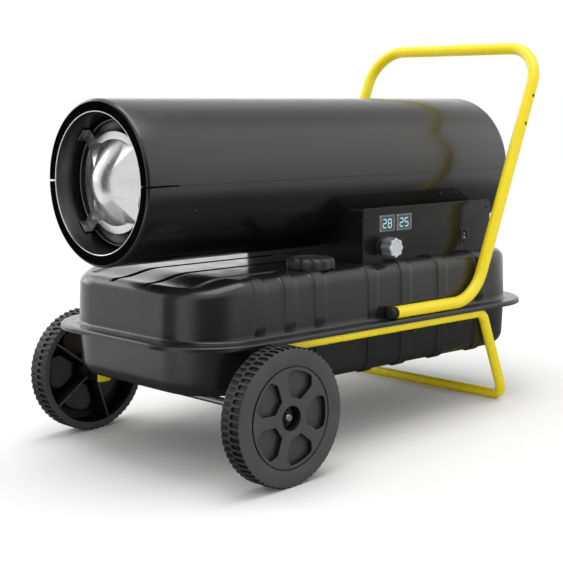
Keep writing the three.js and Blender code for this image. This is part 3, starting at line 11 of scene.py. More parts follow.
import bmesh
import bpy
from mathutils import Matrix, Vector


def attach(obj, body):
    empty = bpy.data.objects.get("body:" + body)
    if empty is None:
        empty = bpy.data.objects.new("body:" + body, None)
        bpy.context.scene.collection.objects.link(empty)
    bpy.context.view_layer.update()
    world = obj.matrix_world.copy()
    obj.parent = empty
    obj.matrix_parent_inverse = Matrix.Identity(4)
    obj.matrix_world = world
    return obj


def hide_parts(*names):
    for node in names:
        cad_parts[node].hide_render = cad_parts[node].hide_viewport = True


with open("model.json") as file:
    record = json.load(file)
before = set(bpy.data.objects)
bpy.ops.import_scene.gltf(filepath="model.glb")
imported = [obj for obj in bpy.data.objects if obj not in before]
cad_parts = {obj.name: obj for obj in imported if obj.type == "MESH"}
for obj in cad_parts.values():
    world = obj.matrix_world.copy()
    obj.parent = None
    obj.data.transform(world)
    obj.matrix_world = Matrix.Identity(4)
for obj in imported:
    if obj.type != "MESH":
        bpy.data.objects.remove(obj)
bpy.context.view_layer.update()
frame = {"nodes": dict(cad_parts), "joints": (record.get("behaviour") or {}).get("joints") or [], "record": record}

# %% [markdown]
# The heater leans back a little, because its rear stand is shorter than its wheels are
# tall. It is much easier to draw it level, so every piece is drawn level with the floor
# under the wheels, and a single matrix leans it. The fan's joint says how far: its axis is
# the barrel's own centre line.

# %% The way from the level drawing to the leaned heater
fan_joint = next(joint for joint in frame["joints"] if joint["name"] == "fan_spin")
lean = math.atan2(-fan_joint["axis"][2], fan_joint["axis"][1])
barrel_height = 0.4213
fan_station = Vector((0, 0.320, barrel_height))
turned = Matrix.Rotation(-lean, 4, "X")
level = Matrix.Translation(Vector(fan_joint["pos_m"]) - turned @ fan_station) @ turned
barrel_front = -0.144
barrel_place = level @ Matrix.Translation((0, barrel_front, barrel_height))
print("the heater leans back", round(math.degrees(lean), 2), "degrees")

# %% [markdown]
# The camera comes first. It stands where the photographer stood, so that each render can
# be laid beside the photograph: in front of the outlet, to the right, a little higher than
# the barrel. Its place was worked out in the level drawing, so it leans with the heater.

# %% Camera at the photographer's place
def aim_camera(place, azimuth, drop, lens):
    data = bpy.data.cameras.new("photo_camera")
    data.lens = lens
    data.sensor_width = 36
    data.clip_end = 50
    camera = bpy.data.objects.new("photo_camera", data)
    bpy.context.scene.collection.objects.link(camera)
    looking = Matrix.Rotation(math.radians(azimuth), 4, "Z")
    looking = looking @ Matrix.Rotation(math.radians(90 - drop), 4, "X")
    camera.matrix_world = level @ Matrix.Translation(place) @ looking
    bpy.context.scene.camera = camera
    return camera


camera = aim_camera((1.55728, -1.25745, 0.53945), 46.508, 7.762, 85.216)
print("camera at", [round(v, 3) for v in camera.matrix_world.translation])

# %% [markdown]
# ## Finishes
# Nothing on this heater is one flat colour. Powder paint has a fine orange peel, moulded
# plastic has a grain, and sheet steel keeps the lines of its rolling. Each finish is a
# Principled shader with noise that reads Object coordinates, so the pattern is in metres
# and stays on the piece. Numbers that don't vary sit on the shader's own sockets. One
# helper adds every node: what comes out of another node is linked to the socket, and a
# number is set on it.

# %% A helper for nodes, and one that starts a finish
def add_node(tree, kind, sockets, operation=None):
    node = tree.nodes.new(kind)
    if operation:
        node.operation = operation
    for name, value in sockets.items():
        if isinstance(value, bpy.types.NodeSocket):
            tree.links.new(value, node.inputs[name])
        else:
            node.inputs[name].default_value = value
    return node


def new_finish(name, roughness, metallic=0.0, specular=0.5, coat=0.0):
    material = bpy.data.materials.new(name)
    material.use_nodes = True
    shader = material.node_tree.nodes["Principled BSDF"]
    shader.inputs["Roughness"].default_value = roughness
    shader.inputs["Metallic"].default_value = metallic
    shader.inputs["Specular IOR Level"].default_value = specular
    shader.inputs["Coat Weight"].default_value = coat
    shader.inputs["Coat Roughness"].default_value = 0.05
    return material, shader


# %% [markdown]
# Three noises are enough for every finish here: one shifts the colour a little, one shifts
# the roughness, and one lifts the surface.

# %% Colour, roughness and relief from noise
def object_space(material, stretch=1):
    coordinates = add_node(material.node_tree, "ShaderNodeTexCoord", {})
    mapping = add_node(material.node_tree, "ShaderNodeMapping",
                       {"Vector": coordinates.outputs["Object"], "Scale": (1, stretch, 1)})
    return mapping.outputs["Vector"]


def noise_at(material, space, scale, detail=2.0, roughness=0.5):
    noise = add_node(material.node_tree, "ShaderNodeTexNoise",
                     {"Vector": space, "Scale": scale, "Detail": detail, "Roughness": roughness})
    return noise.outputs["Fac"]


def vary_colour(material, shader, factor, dark, light):
    ramp = add_node(material.node_tree, "ShaderNodeValToRGB", {"Fac": factor})
    for stop, position, colour in zip(ramp.color_ramp.elements, (0.35, 0.65), (dark, light)):
        stop.position = position
        stop.color = (*colour, 1)
    material.node_tree.links.new(ramp.outputs["Color"], shader.inputs["Base Color"])


def dress(material, shader, colours, roughness, spread, height, noises):
    clouds, wear, relief = noises
    vary_colour(material, shader, clouds, *colours)
    tree = material.node_tree
    dullness = add_node(tree, "ShaderNodeMapRange",
                        {"Value": wear, "From Min": 0.3, "From Max": 0.7,
                         "To Min": roughness * (1 - spread), "To Max": roughness * (1 + spread)})
    tree.links.new(dullness.outputs["Result"], shader.inputs["Roughness"])
    bump = add_node(tree, "ShaderNodeBump",
                    {"Height": relief, "Distance": height, "Strength": 1.0})
    tree.links.new(bump.outputs["Normal"], shader.inputs["Normal"])


# %% [markdown]
# Powder paint: the barrel, the control box and the tank are black, the tubes yellow. The
# paint levels out before it sets and leaves a very low, 2 to 3 mm wide orange peel.

# %% Powder paints
def grey(value):
    return (value, value, value)


def powder_paint(name, dark, light, roughness, peel=0.00002, coat=0.0, specular=0.5):
    material, shader = new_finish(name, roughness, coat=coat, specular=specular)
    space = object_space(material)
    dress(material, shader, (dark, light), roughness, 0.15, peel,
          (noise_at(material, space, 9, 3), noise_at(material, space, 35, 3),
           noise_at(material, space, 420)))
    return material


barrel_black = powder_paint("barrel_black", grey(0.004), grey(0.006), 0.20, specular=0.76)
lip_black = powder_paint("lip_black", grey(0.002), grey(0.003), 0.6, specular=0.0)
tank_black = powder_paint("tank_black", grey(0.010), grey(0.014), 0.24, specular=0.66)
panel_black = powder_paint("panel_black", grey(0.007), grey(0.010), 0.16, specular=0.26)
tube_yellow = powder_paint("tube_yellow", (0.89, 0.71, 0.007), (0.93, 0.75, 0.011), 0.28,
                           0.000006, coat=0.15)

# %% [markdown]
# Moulded plastics have a fine even grain from the etched mould, and wear to a slightly
# different sheen where hands or the ground touch them.

# %% Plastics and rubber
def moulded(name, dark, light, roughness, grain=0.00004):
    material, shader = new_finish(name, roughness)
    space = object_space(material)
    dress(material, shader, (dark, light), roughness, 0.12, grain,
          (noise_at(material, space, 30, 4), noise_at(material, space, 60, 3),
           noise_at(material, space, 900)))
    return material


wheel_grey = moulded("wheel_grey", (0.058, 0.058, 0.059), (0.068, 0.068, 0.069), 0.55)
tread_grey = moulded("tread_grey", (0.026, 0.026, 0.027), (0.036, 0.036, 0.037), 0.58)
# near-black: the real colour of the barrel's screws, and painted shade in the wheels' sunk faces
screw_black_and_painted_shade = moulded("screw_black_and_painted_shade", grey(0.003), grey(0.005), 0.5)
cap_black = moulded("cap_black", (0.024, 0.024, 0.026), (0.034, 0.034, 0.036), 0.42)
trim_black = moulded("trim_black", (0.014, 0.014, 0.015), (0.022, 0.022, 0.023), 0.45)
knob_silver = moulded("knob_silver", (0.54, 0.55, 0.57), (0.62, 0.63, 0.65), 0.34, 0.00001)
knob_grey = moulded("knob_grey", (0.13, 0.13, 0.14), (0.18, 0.18, 0.19), 0.34, 0.00001)
soft_rubber = moulded("soft_rubber", grey(0.012), grey(0.020), 0.7)
white_ceramic = moulded("white_ceramic", (0.70, 0.67, 0.60), (0.78, 0.75, 0.69), 0.4, 0.00001)
board_green = moulded("board_green", (0.015, 0.10, 0.04), (0.025, 0.14, 0.06), 0.4, 0.00001)

# %% [markdown]
# Bare metal shows how it was worked. The stainless diffuser and heat shield are spun, so
# their lines run round the barrel's axis. Noise that is stretched along one direction
# draws such lines; sheet and castings have an even grain.

# %% Metals
def worked_metal(name, dark, light, roughness, scale, stretch=1, lines=0.000012, spread=0.3):
    material, shader = new_finish(name, roughness, metallic=1.0)
    grain = noise_at(material, object_space(material, stretch), scale, 4, 0.6)
    dress(material, shader, (dark, light), roughness, spread, lines, (grain, grain, grain))
    return material


diffuser_steel = worked_metal("diffuser_steel", grey(0.66), grey(0.74), 0.25, 60, 30,
                              0.000002, 0.12)
shield_steel = worked_metal("shield_steel", grey(0.09), grey(0.14), 0.32, 24, 60, 0.000004, 0.2)
holder_steel = worked_metal("holder_steel", grey(0.32), grey(0.38), 0.34, 300, 1, 0.000002, 0.15)
# painted highlight: the holder's ring, much brighter than the same steel of its arms
ring_steel_painted_highlight = worked_metal("ring_steel_painted_highlight", grey(0.84), grey(0.90), 0.3, 300, 1, 0.000002, 0.15)
rim_steel = worked_metal("rim_steel", (0.62, 0.62, 0.63), (0.74, 0.74, 0.75), 0.22, 160)
chamber_steel = worked_metal("chamber_steel", grey(0.24), grey(0.36), 0.38, 30, 40,
                             0.000004, 0.2)
zinc_steel = worked_metal("zinc_steel", (0.52, 0.53, 0.54), (0.64, 0.65, 0.66), 0.32, 220)
cast_alloy = worked_metal("cast_alloy", (0.42, 0.42, 0.43), (0.54, 0.54, 0.55), 0.5, 300, 1,
                          0.00004)
turned_brass = worked_metal("turned_brass", (0.55, 0.38, 0.12), (0.66, 0.47, 0.18), 0.28, 60, 40)
print("finishes made:", len(bpy.data.materials))

# %% [markdown]
# ## Ways to make a piece
# Most of this heater is spun, bent or pressed. A spun shape is a profile turned round an
# axis. Profiles are drawn here as radius and distance along the barrel, and another matrix
# lays the same drawing along the axle or upright.

# %% Spin a profile
along_x = Matrix.Rotation(math.radians(-90), 4, "Z")
along_y = Matrix.Identity(4)
along_z = Matrix.Rotation(math.radians(90), 4, "X")


def spin_profile(bm, profile, steps=96, start=0.0, sweep=360.0, closed=True, matrix=along_y):
    first = math.radians(start)
    ring = [bm.verts.new((r * math.cos(first), along, r * math.sin(first)))
            for r, along in profile]
    pairs = list(zip(ring, ring[1:])) + ([(ring[-1], ring[0])] if closed else [])
    edges = [bm.edges.new(pair) for pair in pairs]
    full = sweep >= 360
    made = bmesh.ops.spin(bm, geom=ring + edges, cent=(0, 0, 0), axis=(0, -1, 0),
                          angle=math.radians(sweep), steps=steps, use_merge=full)
    last = [g for g in made["geom_last"] if isinstance(g, bmesh.types.BMEdge)]
    if closed and not full:
        bmesh.ops.contextual_create(bm, geom=edges)
        bmesh.ops.contextual_create(bm, geom=last)
    used = set()
    stack = list(ring)
    while stack:
        vert = stack.pop()
        if vert in used:
            continue
        used.add(vert)
        stack.extend(edge.other_vert(vert) for edge in vert.link_edges)
    bmesh.ops.transform(bm, matrix=matrix, verts=list(used))
    return list(used)


def spun(profile, steps=96, closed=True, matrix=along_y):
    bm = bmesh.new()
    spin_profile(bm, profile, steps, closed=closed, matrix=matrix)
    return bm


def arc(centre, radius, first, last, steps=6):
    return [(centre[0] + radius * math.cos(math.radians(first + (last - first) * i / steps)),
             centre[1] + radius * math.sin(math.radians(first + (last - first) * i / steps)))
            for i in range(steps + 1)]


def circle(centre, radius, sides):
    return arc(centre, radius, 0, 360, sides)[:-1]


# %% [markdown]
# Every finished bmesh goes through the same door: doubles merged, faces turned outwards,
# the drawing moved to its place, edges sharper than a limit kept sharp. Then the piece is
# told which body it rides on and which plain nodes it stands for.

# %% Finish a piece
def finish_piece(name, bm, material, body="heater_body", nodes=(), place=None,
                 crease=32):
    bmesh.ops.remove_doubles(bm, verts=bm.verts, dist=0.000002)
    bmesh.ops.recalc_face_normals(bm, faces=bm.faces)
    mesh = bpy.data.meshes.new(name)
    bm.to_mesh(mesh)
    bm.free()
    mesh.transform(level if place is None else place)
    mesh.shade_smooth()
    mesh.set_sharp_from_angle(angle=math.radians(crease))
    mesh.materials.append(material)
    piece = bpy.data.objects.new(name, mesh)
    bpy.context.scene.collection.objects.link(piece)
    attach(piece, body)
    if nodes:
        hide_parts(*nodes)
    print(f"{name}: {len(mesh.polygons)} faces")
    return piece


def barrel_piece(name, bm, material, nodes=(), body="heater_body", crease=32):
    return finish_piece(name, bm, material, body, nodes, barrel_place, crease)


# %% [markdown]
# Some pieces carry two finishes, such as the dull black ring at the mouth of the glossy
# barrel; on the wheels the second finish is painted shade, and on the diffuser's holder a
# painted highlight. The faces are chosen by where they lie in the level drawing.

# %% Give chosen faces a second finish
def second_finish(piece, material, place, chosen):
    piece.data.materials.append(material)
    back = place.inverted()
    turn = back.to_3x3()
    painted = 0
    for face in piece.data.polygons:
        if chosen(back @ face.center, (turn @ face.normal).normalized()):
            face.material_index = 1
            painted += 1
    print(f"{piece.name}: {painted} faces in {material.name}")


# %% [markdown]
# Holes and recesses are cut with a Boolean modifier, applied at once, so that the piece
# keeps a plain mesh.

# %% Cut one bmesh with another
def loose_object(name, bm):
    mesh = bpy.data.meshes.new(name)
    bm.to_mesh(mesh)
    bm.free()
    tool = bpy.data.objects.new(name, mesh)
    bpy.context.scene.collection.objects.link(tool)
    return tool


def carved(bm, cutter, operation="DIFFERENCE"):
    bmesh.ops.recalc_face_normals(bm, faces=bm.faces)
    bmesh.ops.recalc_face_normals(cutter, faces=cutter.faces)
    body = loose_object("being_cut", bm)
    tool = loose_object("cutter", cutter)
    modifier = body.modifiers.new("cut", "BOOLEAN")
    modifier.operation = operation
    modifier.object = tool
    modifier.solver = "EXACT"
    view = bpy.context.evaluated_depsgraph_get()
    result = bmesh.new()
    result.from_mesh(body.evaluated_get(view).to_mesh())
    for scrap in (body, tool):
        mesh = scrap.data
        bpy.data.objects.remove(scrap)
        bpy.data.meshes.remove(mesh)
    return result


def add_block(bm, low, high, bevel=0.0, segments=3):
    made = bmesh.ops.create_cube(bm, size=1)
    size = [h - l for l, h in zip(low, high)]
    middle = [(h + l) / 2 for l, h in zip(low, high)]
    bmesh.ops.scale(bm, vec=size, verts=made["verts"])
    bmesh.ops.translate(bm, vec=middle, verts=made["verts"])
    if bevel:
        edges = list({edge for vert in made["verts"] for edge in vert.link_edges})
        bmesh.ops.bevel(bm, geom=edges, offset=bevel, affect="EDGES", segments=segments,
                        profile=0.5, material=-1)


def new_block(*block):
    bm = bmesh.new()
    add_block(bm, *block)
    return bm


def add_rod(bm, radius, low, high, matrix=along_y, centre=(0, 0, 0), segments=24, bevel=0.0):
    profile = [(0, low), (radius, low), (radius, high), (0, high)]
    if bevel:
        profile = [(0, low)] + arc((radius - bevel, low + bevel), bevel, -90, 0, 3)
        profile += arc((radius - bevel, high - bevel), bevel, 0, 90, 3) + [(0, high)]
    verts = spin_profile(bm, profile, segments, closed=False, matrix=matrix)
    bmesh.ops.translate(bm, vec=centre, verts=verts)


def turned_copies(target, source, turns, axis="Y"):
    for turn in turns:
        mesh = bpy.data.meshes.new("copy")
        source.to_mesh(mesh)
        mesh.transform(Matrix.Rotation(math.radians(turn), 4, axis))
        target.from_mesh(mesh)
        bpy.data.meshes.remove(mesh)
    source.free()


# %% [markdown]
# ## The barrel
# Two half shells of painted sheet, joined at mid height. Their front edge is rolled in to
# a flat ring round the outlet. For the first 55 mm the shells stand 3 mm apart, and
# daylight shows through; further back the gap closes to a hairline over a lap strip.
# Each half is a profile spun through a little less than half a turn, and the vertices at
# the front of the seam are then moved apart.

# %% Half shells of the barrel
barrel_radius = 0.1207
barrel_length = 0.797
sheet = 0.0015
lip_radius = 0.1042
slot_depth = 0.055
slot_half = 0.0015
hairline_half = 0.0004
lip_rounding, rear_rounding = 0.0065, 0.002
lip_face_depth, lip_face_radius = 0.0012, 0.1165
lap_outer, lap_inner, lap_end = 0.1188, 0.1176, 0.795
lap_angle = 4.3


def shell_profile():
    r, w, k = barrel_radius, sheet, lip_rounding
    outer = [(lip_radius, 0.0), (lip_radius + 0.004, 0.0)]
    outer += arc((r - k, k), k, -90, 0, 8)
    outer += [(r, slot_depth - 0.0006), (r, slot_depth)]
    outer += [(r, barrel_length * part) for part in (0.2, 0.4, 0.6, 0.8)]
    outer += arc((r - rear_rounding, barrel_length - rear_rounding), rear_rounding, 0, 90, 4)
    outer += [(r - 0.004, barrel_length), (r - 0.004, barrel_length - w)]
    inner = [(r - w, barrel_length - 0.004), (r - w, slot_depth), (r - w, slot_depth - 0.0006)]
    inner += arc((r - k, k), k - w, 0, -90, 6)
    return outer + inner + [(lip_radius, w)]


def half_shell(side):
    bm = bmesh.new()
    gap = math.degrees(hairline_half / barrel_radius)
    start = gap if side > 0 else 180 + gap
    spin_profile(bm, shell_profile(), 96, start, 180 - 2 * gap)
    for vert in bm.verts:
        if abs(vert.co.z) < 0.001 and vert.co.y < slot_depth - 0.0003:
            vert.co.z = side * slot_half
    return bm


upper_shell = barrel_piece("barrel_upper_shell", half_shell(1), barrel_black,
                           ("upper_body_shell",))
lower = half_shell(-1)
for start in (-lap_angle, 180 - lap_angle):
    spin_profile(lower, [(lap_outer, slot_depth), (lap_outer, lap_end), (lap_inner, lap_end),
                         (lap_inner, slot_depth)], 6, start, 2 * lap_angle)
lower_shell = barrel_piece("barrel_lower_shell", lower, barrel_black,
                           ("lower_body_shell",))


def on_lip(centre, normal):
    return centre.y < lip_face_depth and math.hypot(centre.x, centre.z) < lip_face_radius


for shell in (upper_shell, lower_shell):
    second_finish(shell, lip_black, barrel_place, on_lip)

# %% [markdown]
# Small black screws with a domed head hold the shells to what is inside: one low on each
# side close to the outlet, and two on each side just above the control box. A place is how
# far behind the outlet the screw sits and how many degrees it is below the barrel's middle.

# %% Screws on the barrel
screw_places = ((0.089, 18.6), (0.623, 18.9), (0.679, 18.9))


def add_screw(bm, place, radius=0.0032, height=0.0018):
    profile = [(0, height * 0.45), (radius * 0.3, height * 0.45), (radius * 0.34, height * 0.95),
               (radius * 0.75, height * 0.72), (radius * 0.96, height * 0.3), (radius, 0),
               (0, -0.0005)]
    verts = spin_profile(bm, profile, 16, closed=False)
    bmesh.ops.transform(bm, matrix=place, verts=verts)


def on_barrel(depth, angle):
    spin = Matrix.Rotation(math.radians(-angle), 4, "Y")
    out = Matrix.Translation((barrel_radius, 0, 0))
    return Matrix.Translation((0, depth, 0)) @ spin @ out @ along_x


screws = bmesh.new()
for depth, drop in screw_places:
    for angle in (-drop, 180 + drop):
        add_screw(screws, on_barrel(depth, angle))
barrel_piece("barrel_screws", screws, screw_black_and_painted_shade)

# %% [markdown]
# ## The outlet
# A stainless heat shield lines the mouth. Its edge is rolled into a bright bead, then it
# narrows in a soft cone to a straight throat. It is thin sheet, so the profile is drawn
# as one line and given its thickness there.

# %% Heat shield and its bead
shield_sheet = 0.0011
bead_centre, bead_radius = (0.1028, 0.0017), 0.0011
shield_face = [(0.1026, 0.0022), (0.1012, 0.006), (0.0998, 0.012), (0.0985, 0.019),
               (0.0976, 0.026), (0.0970, 0.032), (0.0970, 0.060), (0.0970, 0.105)]
shield_back = [(r + shield_sheet, y) for r, y in reversed(shield_face)]
barrel_piece("heat_shield", spun(shield_face + shield_back, 128), shield_steel,
             ("outlet_shield",))
barrel_piece("shield_bead", spun(circle(bead_centre, bead_radius, 10), 128), rim_steel)

# %% [markdown]
# Behind the shield's throat a dark gap shows, and then the combustion chamber: a tube
# with a bright turned edge and a front plate that dips in to the mouth.

# %% Combustion chamber
chamber_inner, chamber_outer, chamber_rear = 0.0908, 0.0920, 0.336
chamber_tube = arc((0.0912, 0.0376), 0.0008, -180, 0, 6)
chamber_tube += [(chamber_outer, 0.060), (chamber_outer, chamber_rear),
                 (chamber_inner, chamber_rear), (chamber_inner, 0.052)]
front_plate = [(0.0868, 0.0530), (0.0800, 0.0535), (0.0765, 0.0560), (0.0748, 0.0600),
               (0.0736, 0.0600), (0.0752, 0.0545), (0.0795, 0.0512), (0.0860, 0.0490),
               (0.0898, 0.0450)]
barrel_piece("chamber_body", spun(chamber_tube + front_plate, 128), chamber_steel,
             ("combustion_chamber",))

# %% [markdown]
# The flame diffuser takes the most skill. It is pressed from one stainless sheet: a dome
# runs out into a round cone, and the corners of a square pyramid break through the cone
# along four diagonals. Its flat rim rests on the holder. It starts as a fine disc of
# rings; each vertex then goes out to the rim's outline and up to the higher of the two
# shapes. A soft maximum rounds the crease a little, as the press tool does.

# %% Flame diffuser
diffuser_radius = 0.0625
square_half = 0.0562
dome_radius = 0.030
dome_rise = 0.0080
diffuser_height = 0.0275
diffuser_rim = 0.0320
diffuser_rings = 44
diffuser_sheet_thickness = 0.0008
crease_blend, rim_blend = 0.0007, 0.0012


def soft_maximum(a, b, blend):
    share = max(0.0, blend - abs(a - b)) / blend
    return max(a, b) + share * share * blend * 0.25


def rim_reach(angle):
    square = square_half / max(abs(math.cos(angle)), abs(math.sin(angle)))
    return soft_maximum(diffuser_radius, square, rim_blend)


def diffuser_rise(r, angle):
    if r < dome_radius:
        return diffuser_height - dome_rise * (r / dome_radius) ** 2
    fall = diffuser_height - dome_rise
    cone = fall * (1 - (r - dome_radius) / (diffuser_radius - dome_radius))
    across = r * max(abs(math.cos(angle)), abs(math.sin(angle)))
    start = dome_radius * math.sqrt(0.5)
    square = fall * (1 - (across - start) / (square_half - start))
    return soft_maximum(cone, square, crease_blend)


def diffuser_sheet():
    bm = spun([(i / diffuser_rings, 0) for i in range(diffuser_rings + 1)], 360, closed=False)
    bmesh.ops.remove_doubles(bm, verts=bm.verts, dist=0.000002)
    for vert in bm.verts:
        share = min(1.0, math.hypot(vert.co.x, vert.co.z))
        angle = math.atan2(vert.co.z, vert.co.x)
        r = share * rim_reach(angle)
        rise = max(0.0, diffuser_rise(r, angle))
        vert.co = (r * math.cos(angle), diffuser_rim - rise, r * math.sin(angle))
    bmesh.ops.recalc_face_normals(bm, faces=bm.faces)
    if sum(face.normal.y for face in bm.faces) > 0:
        bmesh.ops.reverse_faces(bm, faces=bm.faces)
    bmesh.ops.solidify(bm, geom=list(bm.faces), thickness=diffuser_sheet_thickness)
    return bm


barrel_piece("flame_diffuser_sheet", diffuser_sheet(), diffuser_steel,
             ("flame_diffuser",), crease=40)

# %% [markdown]
# The diffuser is held by a flat steel ring with four broad arms on its diagonals. Each arm
# ends in a foot that is turned forward along the shield's wall and spot welded there. The
# ring's steel is painted much brighter than the arms', as a painted highlight.

# %% Holder of the diffuser
ring_inner, ring_outer = 0.0582, 0.0736
arm_half = 0.0110
arm_end = 0.0958
diagonals = (45, 135, 225, 315)


def diffuser_holder():
    bm = spun([(ring_inner, 0.0336)] + arc((ring_outer, 0.0340), 0.0004, -90, 0, 3)
              + arc((ring_outer, 0.0349), 0.0004, 0, 90, 3) + [(ring_inner, 0.0353)], 128)
    arm = new_block((0.0700, 0.0335, -arm_half), (arm_end, 0.0353, arm_half), 0.0004, 2)
    add_block(arm, (0.0940, 0.0226, -arm_half), (arm_end, 0.0353, arm_half), 0.0004, 2)
    for along in (0.0262, 0.0300):
        for side in (-0.006, 0.006):
            add_rod(arm, 0.0011, 0.0935, 0.0943, along_x, (0, along, side), 12)
    turned_copies(bm, arm, diagonals)
    return bm


def on_ring(centre, normal):
    return math.hypot(centre.x, centre.z) < ring_outer + 0.0006


holder = barrel_piece("diffuser_holder_plate", diffuser_holder(), holder_steel,
                      ("diffuser_spider",))
# Painted highlight: the ring of the plate gets a far brighter steel than its arms.
second_finish(holder, ring_steel_painted_highlight, barrel_place, on_ring)

# %% [markdown]
# ## Bent tubes
# The handle and the stand are round tube bent cold on a former, so each bend is a true
# arc. The centre line is worked out first: straight runs, and arcs that touch them. Then a
# circle is extruded along it, one ring at a time.

# %% Centre lines and tubes
def bent_line(corners, radii, steps=10):
    points = [Vector(corner) for corner in corners]
    stations = [(points[0], (points[1] - points[0]).normalized())]
    for before, corner, after, radius in zip(points, points[1:], points[2:], radii):
        into = (corner - before).normalized()
        out = (after - corner).normalized()
        turn = into.angle(out)
        start = corner - into * radius * math.tan(turn / 2)
        side = (out - into * into.dot(out)).normalized()
        for j in range(steps + 1):
            a = turn * j / steps
            spot = start + into * radius * math.sin(a) + side * radius * (1 - math.cos(a))
            stations.append((spot, into * math.cos(a) + side * math.sin(a)))
    stations.append((points[-1], (points[-1] - points[-2]).normalized()))
    return stations


def next_ring(bm, ring, places):
    edges = [bm.edges.get(pair) for pair in zip(ring, ring[1:] + ring[:1])]
    made = bmesh.ops.extrude_edge_only(bm, edges=edges)["geom"]
    fresh = {g for g in made if isinstance(g, bmesh.types.BMVert)}
    following = []
    for old, place in zip(ring, places):
        new = next(e.other_vert(old) for e in old.link_edges if e.other_vert(old) in fresh)
        new.co = place
        following.append(new)
    return following


def loft(bm, rows):
    first = bmesh.ops.create_circle(bm, segments=len(rows[0]), radius=1)["verts"]
    for vert, place in zip(first, rows[0]):
        vert.co = place
    ring = first
    for places in rows[1:]:
        ring = next_ring(bm, ring, places)
    return first, ring


def full_turn(sides):
    return [2 * math.pi * k / sides for k in range(sides)]


def tube_along(stations, radius, wall=0.0015, sides=32):
    bm = bmesh.new()
    up = stations[0][1].orthogonal().normalized()
    rows = []
    for spot, along in stations:
        up = (up - along * up.dot(along)).normalized()
        right = along.cross(up)
        rows.append([spot + (up * math.cos(a) + right * math.sin(a)) * radius
                     for a in full_turn(sides)])
    loft(bm, rows)
    bmesh.ops.recalc_face_normals(bm, faces=bm.faces)
    if wall:
        bmesh.ops.solidify(bm, geom=list(bm.faces), thickness=wall)
    return bm


# %% [markdown]
# The handle runs forward along each side on top of the tank's flange, sweeps up behind
# the control box and crosses over the barrel. It has two small holes in the near leg.

# %% Handle
handle_x = 0.1891
handle_front, handle_bend, handle_back = 0.285, 0.4807, 0.6525
handle_low, handle_high = 0.2103, 0.6276
leg_length = 0.4516
handle_line = bent_line([
    (-handle_x, handle_front, handle_low), (-handle_x, handle_bend, handle_low),
    (-handle_x, handle_back, handle_high), (handle_x, handle_back, handle_high),
    (handle_x, handle_bend, handle_low), (handle_x, handle_front, handle_low),
], [0.075, 0.065, 0.065, 0.075], 14)
leg_foot = Vector((handle_x, handle_bend, handle_low))
leg_way = (Vector((handle_x, handle_back, handle_high)) - leg_foot).normalized()
drill = bmesh.new()
for share in (0.694, 0.805):
    add_rod(drill, 0.0032, 0.0, 0.03, along_x, leg_foot + leg_way * share * leg_length, 20)
finish_piece("handle_bar", carved(tube_along(handle_line, 0.010), drill), tube_yellow,
             nodes=("handle_tube",))

# %% [markdown]
# A ridged rubber plug closes each front end of the handle.

# %% Rubber plugs in the handle's front ends
plug_profile = [(0, -0.0128), (0.0076, -0.0128), (0.0086, -0.0124), (0.0092, -0.0112)]
for ridge in (0.0100, 0.0074, 0.0048, 0.0022):
    plug_profile += [(0.0096, -ridge), (0.0096, 0.0010 - ridge), (0.0088, 0.0014 - ridge),
                     (0.0088, 0.0022 - ridge)]
plug_profile[-1] = (0.0088, -0.0003)
plug_profile += [(0.0078, -0.0003), (0.0078, 0.016), (0, 0.016)]
for side, word in ((1, "right"), (-1, "left")):
    plug = spun(plug_profile, 40, closed=False)
    bmesh.ops.translate(plug, vec=(side * handle_x, handle_front, handle_low), verts=plug.verts)
    finish_piece(f"handle_end_{word}", plug, soft_rubber, nodes=(f"handle_plug_{word}",))

# %% [markdown]
# The stand is one more bent tube. It nests under the flange, turns down in front to flat
# ends that hang on the axle, and drops behind the tank to a bar across the floor.

# %% Stand
rail_x = 0.1876
rail_z = 0.1877
leg_top = 0.130
stand_bend, foot_y, foot_z = 0.505, 0.567, 0.036


def flat_end(bm, side):
    rows = []
    for z, half_x, half_y in ((leg_top + 0.006, 0.0083, 0.0083), (leg_top - 0.006, 0.0056, 0.0108),
                              (leg_top - 0.014, 0.0030, 0.0128), (0.112, 0.0026, 0.0132),
                              (0.096, 0.0026, 0.0132), (0.088, 0.0026, 0.0132),
                              (0.0858, 0.0026, 0.0126), (0.0850, 0.0026, 0.0112)):
        rows.append([Vector((side * rail_x + half_x * math.cos(a), half_y * math.sin(a), z))
                     for a in full_turn(24)])
    for ring in loft(bm, rows):
        bm.faces.new(ring)


stand_line = bent_line([
    (-rail_x, 0, leg_top), (-rail_x, 0, rail_z), (-rail_x, stand_bend, rail_z),
    (-rail_x, foot_y, foot_z), (rail_x, foot_y, foot_z),
    (rail_x, stand_bend, rail_z), (rail_x, 0, rail_z), (rail_x, 0, leg_top),
], [0.034, 0.022, 0.022, 0.022, 0.022, 0.034])
stand = tube_along(stand_line, 0.0085)
for side in (-1, 1):
    flat_end(stand, side)
for vert in stand.verts:
    spot = level @ vert.co
    if spot.z < 0:
        spot.z = 0
        vert.co = level.inverted() @ spot
finish_piece("stand_tube", stand, tube_yellow, nodes=("stand_frame",))

# %% [markdown]
# ## The tank
# Two deep pressings meet at a flange. Seen from above, each is a rounded rectangle, so
# both are built from rings of one outline: out over the flange's turned edge, up the wall,
# round the top edge and then in, ring by ring, to the middle. A dense outline leaves
# enough vertices to press the ribs and grooves into it afterwards.

